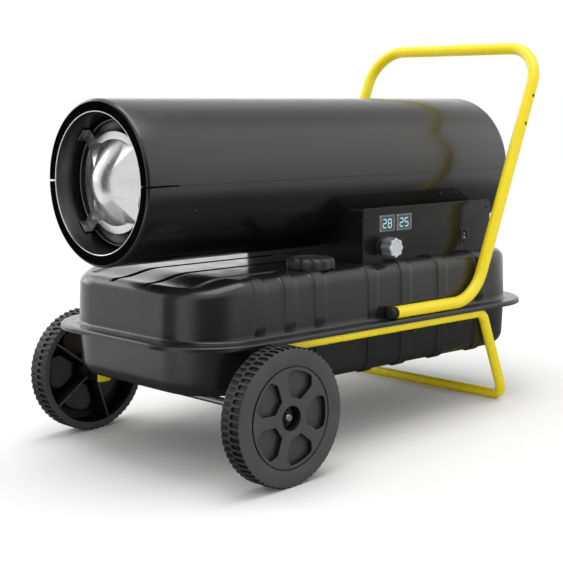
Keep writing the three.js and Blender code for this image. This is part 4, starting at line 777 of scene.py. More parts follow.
# %% Outline of the tank
tank_half = 0.1785
tank_front = -0.098
tank_rear = 0.638
tank_top = 0.2855
tank_corner = 0.095
wall_draft = 0.002
flange_top = 0.200
rib_stations = (0.009, 0.068, 0.129, 0.244, 0.321, 0.410, 0.508)
rib_edges = (-0.0116, -0.0110, -0.0104, -0.0098, 0.0, 0.0098, 0.0104, 0.0110, 0.0116)
groove_lines = (0.039, 0.117)
groove_offsets = (-0.0075, -0.0065, -0.0055, -0.0045, -0.0035, -0.0025, 0.0, 0.0025, 0.0035,
                  0.0045, 0.0055, 0.0065, 0.0075)


def filled_in(marks, low, high, step):
    stations = sorted({round(m, 5) for m in marks if low < m < high} | {low, high})
    result = []
    for a, b in zip(stations, stations[1:]):
        count = max(1, math.ceil((b - a) / step))
        result += [a + (b - a) * i / count for i in range(count)]
    return result[1:]


side_stations = filled_in([y + e for y in rib_stations for e in rib_edges], -0.003, 0.543, 0.010)
front_stations = filled_in([s * (groove_lines[0] + e) for s in (-1, 1) for e in groove_offsets],
                           -0.0835, 0.0835, 0.006)


def held_between(stations, low, high):
    return [min(max(s, low), high) for s in stations]


def outline_places(inset_x, inset_y, radius, z):
    half = tank_half - inset_x
    front = tank_front + inset_y
    rear = tank_rear - inset_y
    right = arc((half - radius, front + radius), radius, -90, 0, 44)
    right += [(half, y) for y in held_between(side_stations, front + radius, rear - radius)]
    right += arc((half - radius, rear - radius), radius, 0, 90, 44)
    ends = max(half - radius, 0.0)
    across = held_between(front_stations, -ends, ends)
    rear_run = [(x, rear) for x in reversed(across)]
    front_run = [(x, front) for x in across]
    left = [(-x, y) for x, y in reversed(right)]
    return [Vector((x, y, z)) for x, y in right + rear_run + left + front_run]


# %% [markdown]
# The ribs wrap over the wall and the top edge and end with a soft slope. The top also
# drops to a shelf under the hot outlet and carries four long pressed grooves. All of this
# is pressing: vertices are pushed along their normals, or down.

# %% Ribs, shelf and grooves
rib_height, rib_start, rib_full = 0.0025, 0.148, 0.158
shelf_depth = 0.0092
groove_depth = 0.0034
outer_groove, inner_groove = (-0.068, 0.108), (-0.092, 0.238)


def smooth(low, high, value):
    t = min(1.0, max(0.0, (value - low) / (high - low)))
    return t * t * (3 - 2 * t)


def shelf_drop(y):
    return shelf_depth * smooth(0.006, 0.074, -y)


def rib_here(co):
    across = min(abs(co.y - y) for y in rib_stations)
    return 1 - smooth(0.0099, 0.0113, across)


def groove_here(co):
    away, line = min((abs(abs(co.x) - x), x) for x in groove_lines)
    start, end = outer_groove if line == groove_lines[1] else inner_groove
    if not start < co.y < end:
        return 0.0
    ends = smooth(start, start + 0.005, co.y) * (1 - smooth(end - 0.006, end, co.y))
    return (1 - smooth(0.0026, 0.0066, away)) * ends


def press_ribs(bm, low, high, direction):
    bm.normal_update()
    moves = []
    for vert in bm.verts:
        co = vert.co
        if not low < co.z < high or abs(co.x) < rib_start:
            continue
        reach = smooth(rib_start, rib_full, abs(co.x))
        rise = smooth(0.0, 0.010, direction * (co.z - (low if direction > 0 else high)))
        moves.append((vert, vert.normal * rib_height * rib_here(co) * reach * rise))
    for vert, move in moves:
        vert.co += move


# %% [markdown]
# Both halves are lists of levels: flange, fillet, wall, rounded edge, and rings that run in
# to the middle. The upper one is pressed after that and gets the hole for the filler.

# %% Levels of the two halves
fine_inset = 0.071
last_inset = tank_half - 0.0012


def flange_ring(share, z):
    return (-0.0204 * share, -0.028 * share, tank_corner + 0.0154 * share, z)


def fillet_levels(z, rise):
    turns = [math.radians(a) for a in (0, 30, 60, 90)]
    return [flange_ring(0.24 * (1 - math.sin(a)), z + rise * (1 - math.cos(a))) for a in turns]


def wall_levels(low, high, steps):
    drafts = [(wall_draft * i / steps, i / steps) for i in range(1, steps + 1)]
    return [(inset, inset, tank_corner - inset, low + (high - low) * share)
            for inset, share in drafts]


def edge_levels(start, rise, steps):
    levels = []
    for i in range(1, steps + 1):
        a = math.radians(90 * i / steps)
        inset = wall_draft + abs(rise) * (1 - math.cos(a))
        levels.append((inset, inset, tank_corner - inset, start + rise * math.sin(a)))
    return levels


def inner_levels(first, z):
    marks = [tank_half - x + e for x in groove_lines for e in groove_offsets]
    near = filled_in([m for m in marks if m < fine_inset], first, fine_inset, 0.0024)
    far = filled_in(marks, fine_inset, last_inset, 0.0070)
    return [(inset, inset, max(tank_corner - inset, 0.0), z)
            for inset in near + [fine_inset] + far + [last_inset]]


def tank_half_shell(levels, end, facing):
    bm = bmesh.new()
    loft(bm, [outline_places(*place) for place in levels])
    bmesh.ops.remove_doubles(bm, verts=bm.verts, dist=0.00001)
    bmesh.ops.holes_fill(bm, edges=[e for e in bm.edges if e.is_boundary and
                                    facing * (e.verts[0].co.z - end) > -0.001], sides=0)
    bmesh.ops.recalc_face_normals(bm, faces=bm.faces)
    outward = facing * sum(f.normal.z for f in bm.faces
                           if facing * (f.calc_center_median().z - end) > -0.001)
    if outward < 0:
        bmesh.ops.reverse_faces(bm, faces=bm.faces)
    return bm


# %% [markdown]
# The upper half's flange turns down at its edge; its top is pressed as said above.

# %% Upper tank shell
def upper_tank():
    skirt_low, skirt_high, rounding = 0.1925, 0.1968, 0.0032
    levels = [flange_ring(1, skirt_low), flange_ring(1, skirt_high)]
    levels += [flange_ring(1 - 0.16 * (1 - math.cos(math.radians(a))),
                           skirt_high + rounding * math.sin(math.radians(a)))
               for a in (22, 45, 67, 90)]
    levels += [flange_ring(share, flange_top) for share in (0.6, 0.38)]
    wall_start, wall_end = flange_top + 0.004, tank_top - 0.018
    levels += fillet_levels(flange_top, 0.004) + wall_levels(wall_start, wall_end, 12)
    levels += edge_levels(wall_end, 0.018, 9) + inner_levels(0.020, tank_top)
    bm = tank_half_shell(levels, tank_top, 1)
    press_ribs(bm, wall_start, tank_top + 0.001, 1)
    for vert in bm.verts:
        share = smooth(flange_top + 0.03, tank_top - 0.004, vert.co.z)
        vert.co.z -= shelf_drop(vert.co.y) * share
        if vert.co.z > tank_top - 0.0125:
            vert.co.z -= groove_depth * groove_here(vert.co)
    bmesh.ops.solidify(bm, geom=list(bm.faces), thickness=0.0016)
    return bm


filler_x, filler_y = 0.130, 0.158
filler_hole_radius = 0.0273
tank_hole = bmesh.new()
add_rod(tank_hole, filler_hole_radius, 0.25, 0.30, along_z, (filler_x, filler_y, 0), 64)
finish_piece("tank_upper", carved(upper_tank(), tank_hole), tank_black,
             nodes=("tank_upper_shell",), crease=40)

# %% [markdown]
# The lower half's flange lies inside the upper one's turned edge.

# %% Lower tank shell
def lower_tank():
    bottom, edge = 0.1205, 0.022
    sheet_under, wall_start = 0.1966, 0.1926
    levels = [flange_ring(0.85, 0.1980), flange_ring(0.85, sheet_under),
              flange_ring(0.5, sheet_under)]
    levels += fillet_levels(sheet_under, -0.004) + wall_levels(wall_start, bottom + edge, 7)
    levels += edge_levels(bottom + edge, -edge, 11) + inner_levels(0.024, bottom)
    bm = tank_half_shell(levels, bottom, -1)
    press_ribs(bm, bottom - 0.001, wall_start, -1)
    bmesh.ops.solidify(bm, geom=list(bm.faces), thickness=0.0014)
    return bm


finish_piece("tank_lower", lower_tank(), tank_black, nodes=("tank_lower_shell",),
             crease=40)

# %% [markdown]
# ## Filler cap
# A twist cap with twelve finger grips round its skirt, a dished top and a rounded rim.

# %% Cap with lobes
def finger_grips(bm, axes, lobes, depth, start, end, narrowing=1.0):
    first, second = axes
    for vert in bm.verts:
        r = math.hypot(vert.co[first], vert.co[second])
        if r > start:
            angle = math.atan2(vert.co[second], vert.co[first])
            wave = (0.5 - 0.5 * math.cos(lobes * angle)) ** narrowing
            k = 1 - depth * wave * smooth(start, end, r) / r
            vert.co[first] *= k
            vert.co[second] *= k


def lobed_cap():
    rows = [(0, 0.2995), (0.0312, 0.2995), (0.0312, 0.2870), (0.0372, 0.2870), (0.0375, 0.2885),
            (0.0375, 0.2960), (0.0372, 0.2985), (0.0362, 0.3004), (0.0345, 0.3018),
            (0.0325, 0.3026), (0.0300, 0.3030), (0.0280, 0.3030), (0.0266, 0.3024),
            (0.0258, 0.3016), (0.0150, 0.3013), (0, 0.3013)]
    bm = spun(rows, 240, closed=False, matrix=along_z)
    finger_grips(bm, (0, 1), 12, 0.0042, 0.0322, 0.036, 1.6)
    bmesh.ops.translate(bm, vec=(filler_x, filler_y, 0), verts=bm.verts)
    return bm


finish_piece("twist_cap", lobed_cap(), cap_black, "cap_body", ("fuel_cap",),
             crease=38)

# %% [markdown]
# ## Wheels
# Each wheel is one moulding: a tyre ring with a cleated tread, and a disc set back a
# little, with five windows pressed deep into it. Sixty slots run in from each edge of the
# tread to its middle, those of one edge between those of the other. The ring is spun in
# 480 steps, eight to a slot; those eight are then crowded towards the slot's walls, and
# the ones between the walls are sunk. Near the slot's round end the walls draw together.

# %% Tyre ring
wheel_x = 0.2333
tread_radius = 0.1000
slot_pitch = 2 * math.pi / 60
slot_width_half = 0.0031
slot_end = 0.0014
slot_sink = 0.0024
slot_wall = 0.00025


def slot_reach(x):
    beyond = (slot_end + slot_width_half - abs(x)) / slot_width_half
    if beyond >= 1:
        return 0.0
    return slot_width_half * math.sqrt(1 - max(0.0, beyond) ** 2)


def tyre_ring():
    inner = [(0.0738, 0.0150), (0.0740, 0.0178), (0.0746, 0.0187), (0.0756, 0.0190)]
    shoulder = [(0.0962, 0.0190), (0.0975, 0.0188), (0.0988, 0.0182), (0.0997, 0.0172)]
    rows = (0.0160, 0.0120, 0.0080, 0.0045, 0.0034, 0.0025, 0.0019, 0.0015, 0.0008)
    tread = [(tread_radius, x) for x in rows] + [(tread_radius, -x) for x in reversed(rows)]
    back = [(r, -x) for r, x in reversed(shoulder)]
    back += [(0.0888, -0.0190), (0.0874, -0.0182), (0.0858, 0.0090), (0.0846, 0.0120),
             (0.0738, 0.0136)]
    bm = spun(inner + shoulder + tread + back, 480, matrix=along_x)
    for vert in bm.verts:
        x = vert.co.x
        r = math.hypot(vert.co.y, vert.co.z)
        if r < 0.0968 or abs(x) < slot_end:
            continue
        angle = math.atan2(vert.co.z, vert.co.y)
        if x < 0:
            angle += slot_pitch / 2
        step = round(angle / slot_pitch * 8)
        place = step % 8
        reach = max(slot_reach(x), 0.0003) / tread_radius
        wall = slot_wall / tread_radius
        shifts = (-slot_pitch / 2, -reach - wall, -reach, -reach / 2, 0, reach / 2, reach,
                  reach + wall)
        angle = (step - place) / 8 * slot_pitch + slot_pitch / 2 + shifts[place]
        if x < 0:
            angle -= slot_pitch / 2
        if slot_reach(x) > 0 and 2 <= place <= 6:
            r = min(r, tread_radius - slot_sink)
        vert.co = (x, r * math.cos(angle), r * math.sin(angle))
    return bm


# %% [markdown]
# A window's outline is a blunt arrow with a round outer side. Three cutters shape it: one
# for the window, one narrower and deeper that leaves a ledge round its floor, and a flared
# one that breaks the sharp edge of the face. From behind, the windows stand out as cups.

# %% Wheel disc with windows
def window_outline(grow):
    points = [(-0.0105, 0.0290), (0.0105, 0.0290), (0.0244, 0.0486), (0.0250, 0.0514),
              (0.0226, 0.0624)]
    for i in range(1, 16):
        t = i / 16
        u = (1 - t) ** 2 * 0.0220 - t ** 2 * 0.0220
        v = (1 - t) ** 2 * 0.0645 + 2 * t * (1 - t) * 0.0710 + t ** 2 * 0.0645
        points.append((u, v))
    points += [(-0.0226, 0.0624), (-0.0250, 0.0514), (-0.0244, 0.0486)]
    grown = []
    for i, (u, v) in enumerate(points):
        before, after = points[i - 1], points[(i + 1) % len(points)]
        along = Vector((after[0] - before[0], after[1] - before[1])).normalized()
        grown.append((u + along.y * grow, v - along.x * grow))
    return grown


def window_block(bm, top, grow_top, floor, grow_floor):
    ring = [bm.verts.new((top, u, v)) for u, v in window_outline(grow_top)]
    made = bmesh.ops.extrude_face_region(bm, geom=[bm.faces.new(ring)])
    moved = [g for g in made["geom"] if isinstance(g, bmesh.types.BMVert)]
    for vert in moved:
        index = min(range(len(ring)), key=lambda k: (ring[k].co - vert.co).length)
        u, v = window_outline(grow_floor)[index]
        vert.co = (floor, u, v)


def five_round(source, offset=-90):
    target = bmesh.new()
    turned_copies(target, source, [72 * i + offset for i in range(5)], "X")
    return target


def five_windows(*block):
    window = bmesh.new()
    window_block(window, *block)
    return five_round(window)


def wheel_disc():
    front = [(0.0066, 0.0050), (0.0084, 0.0050), (0.0092, 0.0042), (0.0092, 0.0036),
             (0.0162, 0.0036), (0.0168, 0.0042), (0.0171, 0.0168), (0.0180, 0.0190),
             (0.0713, 0.0190), (0.0718, 0.0186), (0.0720, 0.0163), (0.0738, 0.0163)]
    back = [(0.0738, 0.0140), (0.0716, 0.0150), (0.0230, 0.0150), (0.0196, 0.0130),
            (0.0176, -0.0180), (0.0170, -0.0189), (0.0066, -0.0189)]
    bm = spun(front + back, 160, matrix=along_x)
    bm = carved(bm, five_windows(0.0175, 0.0019, 0.0080, 0.0016), "UNION")
    for window in ((0.0230, 0.0, 0.0104, -0.0004), (0.0230, -0.0018, 0.0090, -0.0022),
                   (0.0198, 0.0012, 0.0182, -0.0002)):
        bm = carved(bm, five_windows(*window))
    web = new_block((-0.0180, -0.0017, 0.0165), (0.0152, 0.0017, 0.0864), 0.0005, 2)
    turned_copies(bm, five_round(web, -54), (0,))
    return bm


# %% [markdown]
# Sunk faces get a near-black finish that paints the shade falling in them: the windows'
# walls, the hub, the step between disc and tyre, the tread's slots and the hollow back.

# %% Both wheels
# Painted shade: the windows' walls, the hub, the step and the back of the disc get near-black.
def painted_shade_on_disc(centre, normal):
    r = math.hypot(centre.y, centre.z)
    upright = abs(normal.x) < 0.45
    window = 0.0085 < centre.x < 0.0186 and 0.0235 < r < 0.0700 and upright
    hub = 0.0094 < r < 0.0178 and centre.x > 0.0032
    step = 0.0712 < r < 0.0760 and centre.x > 0.0155 and upright
    behind = centre.x < 0.0152 and (r < 0.0240 or upright or centre.x > 0.0130)
    return window or hub or step or behind


# Painted shade: the step, the tyre's hollow back and the tread's slots get near-black.
def painted_shade_on_tyre(centre, normal):
    r = math.hypot(centre.y, centre.z)
    step = 0.0736 < r < 0.0756 and centre.x > 0.0140
    hollow = r < 0.0876 and centre.x < 0.0140
    return step or hollow or (0.0970 < r < 0.0998 and abs(centre.x) < 0.0174)


def add_wheel(side, word):
    facing = Matrix.Identity(4) if side > 0 else Matrix.Rotation(math.pi, 4, "Z")
    place = level @ Matrix.Translation((side * wheel_x, 0, 0.100)) @ facing
    tyre = finish_piece(f"tyre_{word}", tyre_ring(), tread_grey, f"wheel_{word}_body",
                        (f"wheel_{word}",), place, crease=30)
    # painted shade in the tread's slots, the step and the hollow back
    second_finish(tyre, screw_black_and_painted_shade, place, painted_shade_on_tyre)
    tyre.data.materials.append(wheel_grey)
    back = place.inverted()
    for face in tyre.data.polygons:
        spot = back @ face.center
        if abs(spot.x) > 0.0174 and math.hypot(spot.y, spot.z) < 0.0990:
            face.material_index = 2
    disc = finish_piece(f"wheel_disc_{word}", wheel_disc(), wheel_grey, f"wheel_{word}_body",
                        place=place, crease=30)
    # painted shade in the disc's windows, hub, step and back
    second_finish(disc, screw_black_and_painted_shade, place, painted_shade_on_disc)


add_wheel(1, "right")
add_wheel(-1, "left")

# %% [markdown]
# ## Control box
# A folded sheet box under the barrel, closed by a panel whose edges are turned in. The
# panel is drawn as a rounded rectangle, extruded, and its front edge rounded.

# %% Panel and box
panel_x = 0.150
box_front, box_rear = 0.252, 0.570
box_low, box_high = 0.2855, 0.3715
display_places = ((0.3088, "28"), (0.3488, "25"))
display_z = 0.3462
knob_y, knob_z = 0.293, 0.311
switch_y, switch_z = 0.500, 0.314


def rounded_sheet(x0, x1, low, high, radius, edge=0.0):
    (y0, z0), (y1, z1) = low, high
    ring = []
    for y, z, start in ((y1 - radius, z0 + radius, -90), (y1 - radius, z1 - radius, 0),
                        (y0 + radius, z1 - radius, 90), (y0 + radius, z0 + radius, 180)):
        ring += arc((y, z), radius, start, start + 90, 6)
    bm = bmesh.new()
    face = bm.faces.new([bm.verts.new((x0, y, z)) for y, z in ring])
    made = bmesh.ops.extrude_face_region(bm, geom=[face])
    moved = [g for g in made["geom"] if isinstance(g, bmesh.types.BMVert)]
    bmesh.ops.translate(bm, vec=(x1 - x0, 0, 0), verts=moved)
    if edge:
        rim = [e for v in moved for e in v.link_edges if all(w in moved for w in e.verts)]
        bmesh.ops.bevel(bm, geom=list(set(rim)), offset=edge, affect="EDGES", segments=4,
                        profile=0.5, material=-1)
    return bm


def panel_sheet(x0, x1, y, z, half_y, half_z, *rounding):
    return rounded_sheet(panel_x + x0, panel_x + x1, (y - half_y, z - half_z),
                         (y + half_y, z + half_z), *rounding)


def panel_block(bm, x0, x1, y, z, half_y, half_z, *bevel):
    add_block(bm, (panel_x + x0, y - half_y, z - half_z),
              (panel_x + x1, y + half_y, z + half_z), *bevel)


def control_panel():
    bm = rounded_sheet(panel_x - 0.007, panel_x, (box_front, box_low - 0.02),
                       (box_rear, box_high), 0.009, 0.0014)
    hollow = rounded_sheet(panel_x - 0.010, panel_x - 0.0015, (box_front + 0.0012, box_low - 0.04),
                           (box_rear - 0.0012, box_high - 0.0012), 0.0078)
    bm = carved(bm, hollow)
    bm = carved(bm, new_block((0.1, 0.2, 0.2), (0.2, 0.6, box_low)))
    holes = bmesh.new()
    for y, _ in display_places:
        panel_block(holes, -0.01, 0.01, y, display_z, 0.0190, 0.0138)
    panel_block(holes, -0.01, 0.01, switch_y, switch_z, 0.0088, 0.0113)
    add_rod(holes, 0.0058, panel_x - 0.01, panel_x + 0.01, along_x, (0, knob_y, knob_z), 32)
    return carved(bm, holes)


finish_piece("panel_front", control_panel(), panel_black, nodes=("control_panel",))


def control_box():
    bm = rounded_sheet(-0.120, panel_x - 0.0018, (box_front + 0.0015, 0.25),
                       (box_rear - 0.0015, box_high - 0.0015), 0.0075)
    hollow = rounded_sheet(-0.1185, panel_x + 0.01, (box_front + 0.003, 0.2870),
                           (box_rear - 0.003, box_high - 0.003), 0.006)
    bm = carved(bm, hollow)
    bm = carved(bm, new_block((-0.2, 0.2, 0.2), (0.2, 0.6, box_low)))
    barrel_room = bmesh.new()
    add_rod(barrel_room, barrel_radius + 0.0003, 0.2, 0.6, along_y, (0, 0, barrel_height), 192)
    return carved(bm, barrel_room)


finish_piece("box_sheet", control_box(), panel_black, nodes=("control_box",))

# %% [markdown]
# Three small screws with a recess in the head hold the panel to the box.

# %% Screws of the panel
panel_screws = bmesh.new()
for y, z in ((0.262, 0.358), (0.262, 0.2925), (0.5605, 0.359)):
    add_screw(panel_screws, Matrix.Translation((panel_x, y, z)) @ along_x, 0.0030, 0.0015)
finish_piece("panel_screws", panel_screws, trim_black)

# %% [markdown]
# Two display windows show the set and the measured temperature in plain seven-segment
# numbers. Each is a grey frame round a dark pane, and the segments are thin raised strips
# that glow a little.

# %% Displays
def display_finish(name, roughness, scale, detail, dark, light):
    material, shader = new_finish(name, roughness)
    vary_colour(material, shader, noise_at(material, object_space(material), scale, detail),
                dark, light)
    return material, shader


bezel_grey, shader = display_finish("bezel_grey", 0.32, 60, 3, (0.11, 0.125, 0.13),
                                    (0.15, 0.165, 0.17))
display_glass, shader = display_finish("display_glass", 0.16, 60, 3, (0.030, 0.055, 0.060),
                                       (0.042, 0.072, 0.078))
digit_glow, shader = display_finish("digit_glow", 0.4, 90, 2, (0.34, 0.54, 0.62),
                                    (0.42, 0.62, 0.70))
shader.inputs["Emission Color"].default_value = (0.60, 0.90, 1.0, 1)
shader.inputs["Emission Strength"].default_value = 0.22
lit_bars = {"2": "abged", "8": "abcdefg", "5": "afgcd"}
bar_width = 0.0019
across, upward = (0.0092 - bar_width) / 2, (0.0150 - bar_width) / 2
bar_places = {"a": (0, upward, True), "b": (across, upward / 2, False),
              "c": (across, -upward / 2, False), "d": (0, -upward, True),
              "e": (-across, -upward / 2, False), "f": (-across, upward / 2, False),
              "g": (0, 0, True)}


def digit_bars(bm, digit, y, z):
    for name in lit_bars[digit]:
        dy, dz, flat = bar_places[name]
        run = across - bar_width * 0.1 if flat else upward / 2 - bar_width * 0.2
        halves = (run, bar_width / 2) if flat else (bar_width / 2, run)
        panel_block(bm, -0.0010, -0.0006, y + dy, z + dz, *halves, 0.0001, 1)


for index, (y, number) in enumerate(display_places):
    pane_y, pane_half_y, pane_half_z = y + 0.0005, 0.0131, 0.0103
    bezel = panel_sheet(-0.008, -0.0004, y, display_z, 0.01875, 0.0135, 0.0012, 0.0004)
    pane_room = panel_sheet(-0.0013, 0.002, pane_y, display_z, pane_half_y, pane_half_z, 0.0010)
    finish_piece(f"display_frame_{index + 1}", carved(bezel, pane_room), bezel_grey,
                 nodes=(f"display_{index + 1}",))
    pane = bmesh.new()
    panel_block(pane, -0.0016, -0.0010, pane_y, display_z, pane_half_y, pane_half_z)
    finish_piece(f"display_pane_{index + 1}", pane, display_glass)
    digits = bmesh.new()
    digit_bars(digits, number[0], y - 0.0058, display_z - 0.0004)
    digit_bars(digits, number[1], y + 0.0062, display_z - 0.0004)
    for z in (display_z - 0.0112, display_z + 0.0112):
        panel_block(digits, -0.0008, -0.0001, y - 0.0159, z, 0.0007, 0.0007, 0.0001, 1)
    finish_piece(f"display_digits_{index + 1}", digits, digit_glow)

# %% [markdown]
# The thermostat knob is silver with eight grips, on a black collar. It is spun with many
# steps and then waved in and out.

# %% Knob
def lobed_rod(rows, depth):
    bm = spun(rows, 192, closed=False, matrix=along_x)
    widest = max(r for r, _ in rows)
    finger_grips(bm, (1, 2), 8, depth, widest * 0.4, widest)
    bmesh.ops.translate(bm, vec=(0, knob_y, knob_z), verts=bm.verts)
    return bm


skirt = panel_x + 0.0005
grip = skirt + 0.0123
skirt_rows = [(0, skirt), (0.0135, skirt), (0.0140, skirt + 0.001), (0.0140, skirt + 0.003),
              (0.0118, skirt + 0.0036), (0.0118, skirt + 0.012), (0, skirt + 0.012)]
finish_piece("knob_base", lobed_rod(skirt_rows, 0.0006), trim_black, "knob_body", ("knob_skirt",))
grip_rows = [(0, grip), (0.0145, grip), (0.0157, grip + 0.0007), (0.0160, grip + 0.0018),
             (0.0158, grip + 0.0180), (0.0154, grip + 0.0200), (0.0144, grip + 0.0214),
             (0.0130, grip + 0.0219), (0.0118, grip + 0.0216), (0.0112, grip + 0.0210),
             (0, grip + 0.0210)]
grip_piece = finish_piece("knob_grip", lobed_rod(grip_rows, 0.0021), knob_silver, "knob_body",
                          ("thermostat_knob",))


def on_grip_side(centre, normal):
    return abs(normal.x) < 0.5 and centre.x < grip + 0.0198


second_finish(grip_piece, knob_grey, level, on_grip_side)

# %% [markdown]
# The mains switch is a black rocker in a black frame. Its paddle is a bar whose outer side
# is pressed hollow, so one half always stands proud. Two white marks tell the halves apart.

# %% Switch
def switch_paddle():
    bm = bmesh.new()
    half = 0.0061
    outline = [(-0.0040, -0.0020), (0.0040, -0.0020), (0.0075, 0.0064), (0.0070, 0.0066)]
    outline += [(0.0070 - 0.0140 * i / 12, 0.0050 + 0.0016 * (1 - 2 * i / 12) ** 2)
                for i in range(1, 12)]
    outline += [(-0.0070, 0.0066), (-0.0075, 0.0064)]
    ring = [bm.verts.new((along, -half, up)) for up, along in outline]
    made = bmesh.ops.extrude_face_region(bm, geom=[bm.faces.new(ring)])
    moved = [g for g in made["geom"] if isinstance(g, bmesh.types.BMVert)]
    bmesh.ops.translate(bm, vec=(0, 2 * half, 0), verts=moved)
    rims = [e for e in bm.edges if abs(e.verts[0].co.y - e.verts[1].co.y) < 1e-6]
    bmesh.ops.bevel(bm, geom=rims, offset=0.0003, affect="EDGES", segments=2, profile=0.5,
                    material=-1)
    bmesh.ops.translate(bm, vec=(panel_x - 0.0045, switch_y, switch_z), verts=bm.verts)
    return bm


finish_piece("switch_paddle", switch_paddle(), trim_black, "rocker_body", ("power_rocker",))
mark_low, mark_high, mark_away = 0.0008, 0.0011, 0.0036
marks = bmesh.new()
panel_block(marks, mark_low, mark_high, switch_y, switch_z + mark_away, 0.0008, 0.0014, 0.0001, 1)
spin_profile(marks, [(0.0010, panel_x + mark_low), (0.0017, panel_x + mark_low),
                     (0.0017, panel_x + mark_high), (0.0010, panel_x + mark_high)], 24,
             matrix=Matrix.Translation((0, switch_y, switch_z - mark_away)) @ along_x)
finish_piece("switch_marks", marks, white_ceramic, "rocker_body")


def switch_frame():
    bm = bmesh.new()
    panel_block(bm, -0.018, 0.0004, switch_y, switch_z, 0.0082, 0.0107)
    rim = panel_sheet(0.0003, 0.0018, switch_y, switch_z, 0.0098, 0.0123, 0.0012, 0.0006)
    bm = carved(bm, rim, "UNION")
    well = bmesh.new()
    panel_block(well, -0.009, 0.003, switch_y, switch_z, 0.0067, 0.0092)
    return carved(bm, well)


finish_piece("switch_frame", switch_frame(), trim_black, nodes=("switch_housing",))

# %% [markdown]
# ## The fan end
# The rear guard is a welded grid: thin wire rings on a shallow dome, eight straight wires
# across them, a pressed disc in the middle and a flat rim. Each ring is a small circle
# spun round the barrel's axis, and each spoke a tube along a bent line.

# %% Rear guard
guard_seat = 0.782
guard_outer = 0.1144
guard_wire = 0.0013
eighths = range(0, 360, 45)


def guard_dome(r):
    return guard_seat + 0.012 * (1 - (r / guard_outer) ** 2)


def rear_guard():
    bm = bmesh.new()
    for ring in range(4, 13):
        r = guard_outer * ring / 12
        spin_profile(bm, circle((r, guard_dome(r)), guard_wire, 8), 96)
    middle = guard_outer / 3
    top = guard_dome(middle)
    spin_profile(bm, [(0, top - 0.0006), (middle, top - 0.0012), (middle + 0.001, top),
                      (middle, top + 0.0008), (middle - 0.004, top + 0.0012),
                      (middle - 0.008, top + 0.0002), (0, top + 0.0002)], 64, closed=False)
    spin_profile(bm, [(guard_outer - 0.001, guard_seat - 0.001), (0.1160, guard_seat - 0.001),
                      (0.1160, guard_seat + 0.001), (guard_outer - 0.001, guard_seat + 0.001)], 96)
    line = [(Vector((r, guard_dome(r) - 0.0016, 0)), Vector((1, 0, 0)))
            for r in (middle - 0.004, 0.055, 0.075, 0.095, guard_outer)]
    turned_copies(bm, tube_along(line, 0.0015, wall=0, sides=10), eighths)
    return bm


barrel_piece("rear_guard_grid", rear_guard(), tank_black, ("rear_guard",))

# %% [markdown]
# Behind the guard sits the motor, a finned alloy body with a compressor pump on its end
# and the pump's air filter on that. The fins are blocks copied round the body; they are
# just low enough to pass under the band that holds the motor.

# %% Motor
motor_front, motor_back = 0.500, 0.605


def motor_body():
    bm = spun([(0.0054, motor_front), (0.0150, motor_front), (0.0172, motor_front + 0.006),
               (0.0200, motor_front + 0.0090), (0.0440, motor_front + 0.0120),
               (0.0480, motor_front + 0.0150), (0.0490, motor_front + 0.0190),
               (0.0490, motor_back - 0.0190), (0.0480, motor_back - 0.0150),
               (0.0440, motor_back - 0.0110), (0.0370, motor_back - 0.0060),
               (0.0370, motor_back), (0.0054, motor_back)])
    fin = new_block((0.0480, motor_front + 0.018, -0.0011), (0.0518, motor_back - 0.018, 0.0011),
                    0.0004, 1)
    turned_copies(bm, fin, range(0, 360, 10))
    for turn in diagonals:
        x, z = 0.0415 * math.cos(math.radians(turn)), 0.0415 * math.sin(math.radians(turn))
        add_rod(bm, 0.0032, motor_back - 0.012, motor_back - 0.0055, along_y, (x, 0, z), 12,
                0.0006)
    return bm


barrel_piece("motor_body", motor_body(), cast_alloy, ("motor",))

# %% [markdown]
# The pump's cover is a plain turned disc. The filter's cap has a fluted skirt and eight
# slots that let the air in.

# %% Pump cover and air filter
seat_gap = 0.0003
pump_length, cover_length = 0.024, 0.012
cover_front = motor_back + seat_gap + pump_length + seat_gap


def pump_cover():
    y = cover_front
    return spun([(0, y + 0.008), (0.0072, y + 0.008), (0.0072, y), (0.0380, y),
                 (0.0380, y + 0.0095), (0.0372, y + 0.0112), (0.0355, y + cover_length),
                 (0, y + cover_length)], 72, closed=False)


barrel_piece("pump_end_cover", pump_cover(), cast_alloy, ("pump_cover",))


def filter_cap():
    y = cover_front + cover_length + seat_gap
    bm = spun([(0, y), (0.0330, y), (0.0338, y + 0.002), (0.0338, y + 0.0180),
               (0.0326, y + 0.0198), (0.0308, y + 0.0208), (0.0240, y + 0.0208),
               (0.0225, y + 0.0196), (0.0105, y + 0.0196), (0.0090, y + 0.0208),
               (0, y + 0.0208)], 144, closed=False)
    for vert in bm.verts:
        r = math.hypot(vert.co.x, vert.co.z)
        if r > 0.0332 and y + 0.001 < vert.co.y < y + 0.0185:
            angle = math.atan2(vert.co.z, vert.co.x)
            k = 1 - 0.0012 * (math.cos(36 * angle) > 0.2) / r
            vert.co.x *= k
            vert.co.z *= k
    slots = bmesh.new()
    turned_copies(slots, new_block((0.0118, y + 0.0170, -0.0016), (0.0212, y + 0.0230, 0.0016)),
                  eighths)
    return carved(bm, slots)


barrel_piece("air_filter_cap", filter_cap(), trim_black, ("air_filter",))

# %% [markdown]
# The fan has five pressed blades. One blade is a grid whose rows run from hub to tip: each
# row is turned to its own pitch and bowed a little, then the sheet gets its thickness and
# is copied round the hub.

# %% Fan
fan_depth = 0.448
blade_root, blade_tip = 0.019, 0.1065


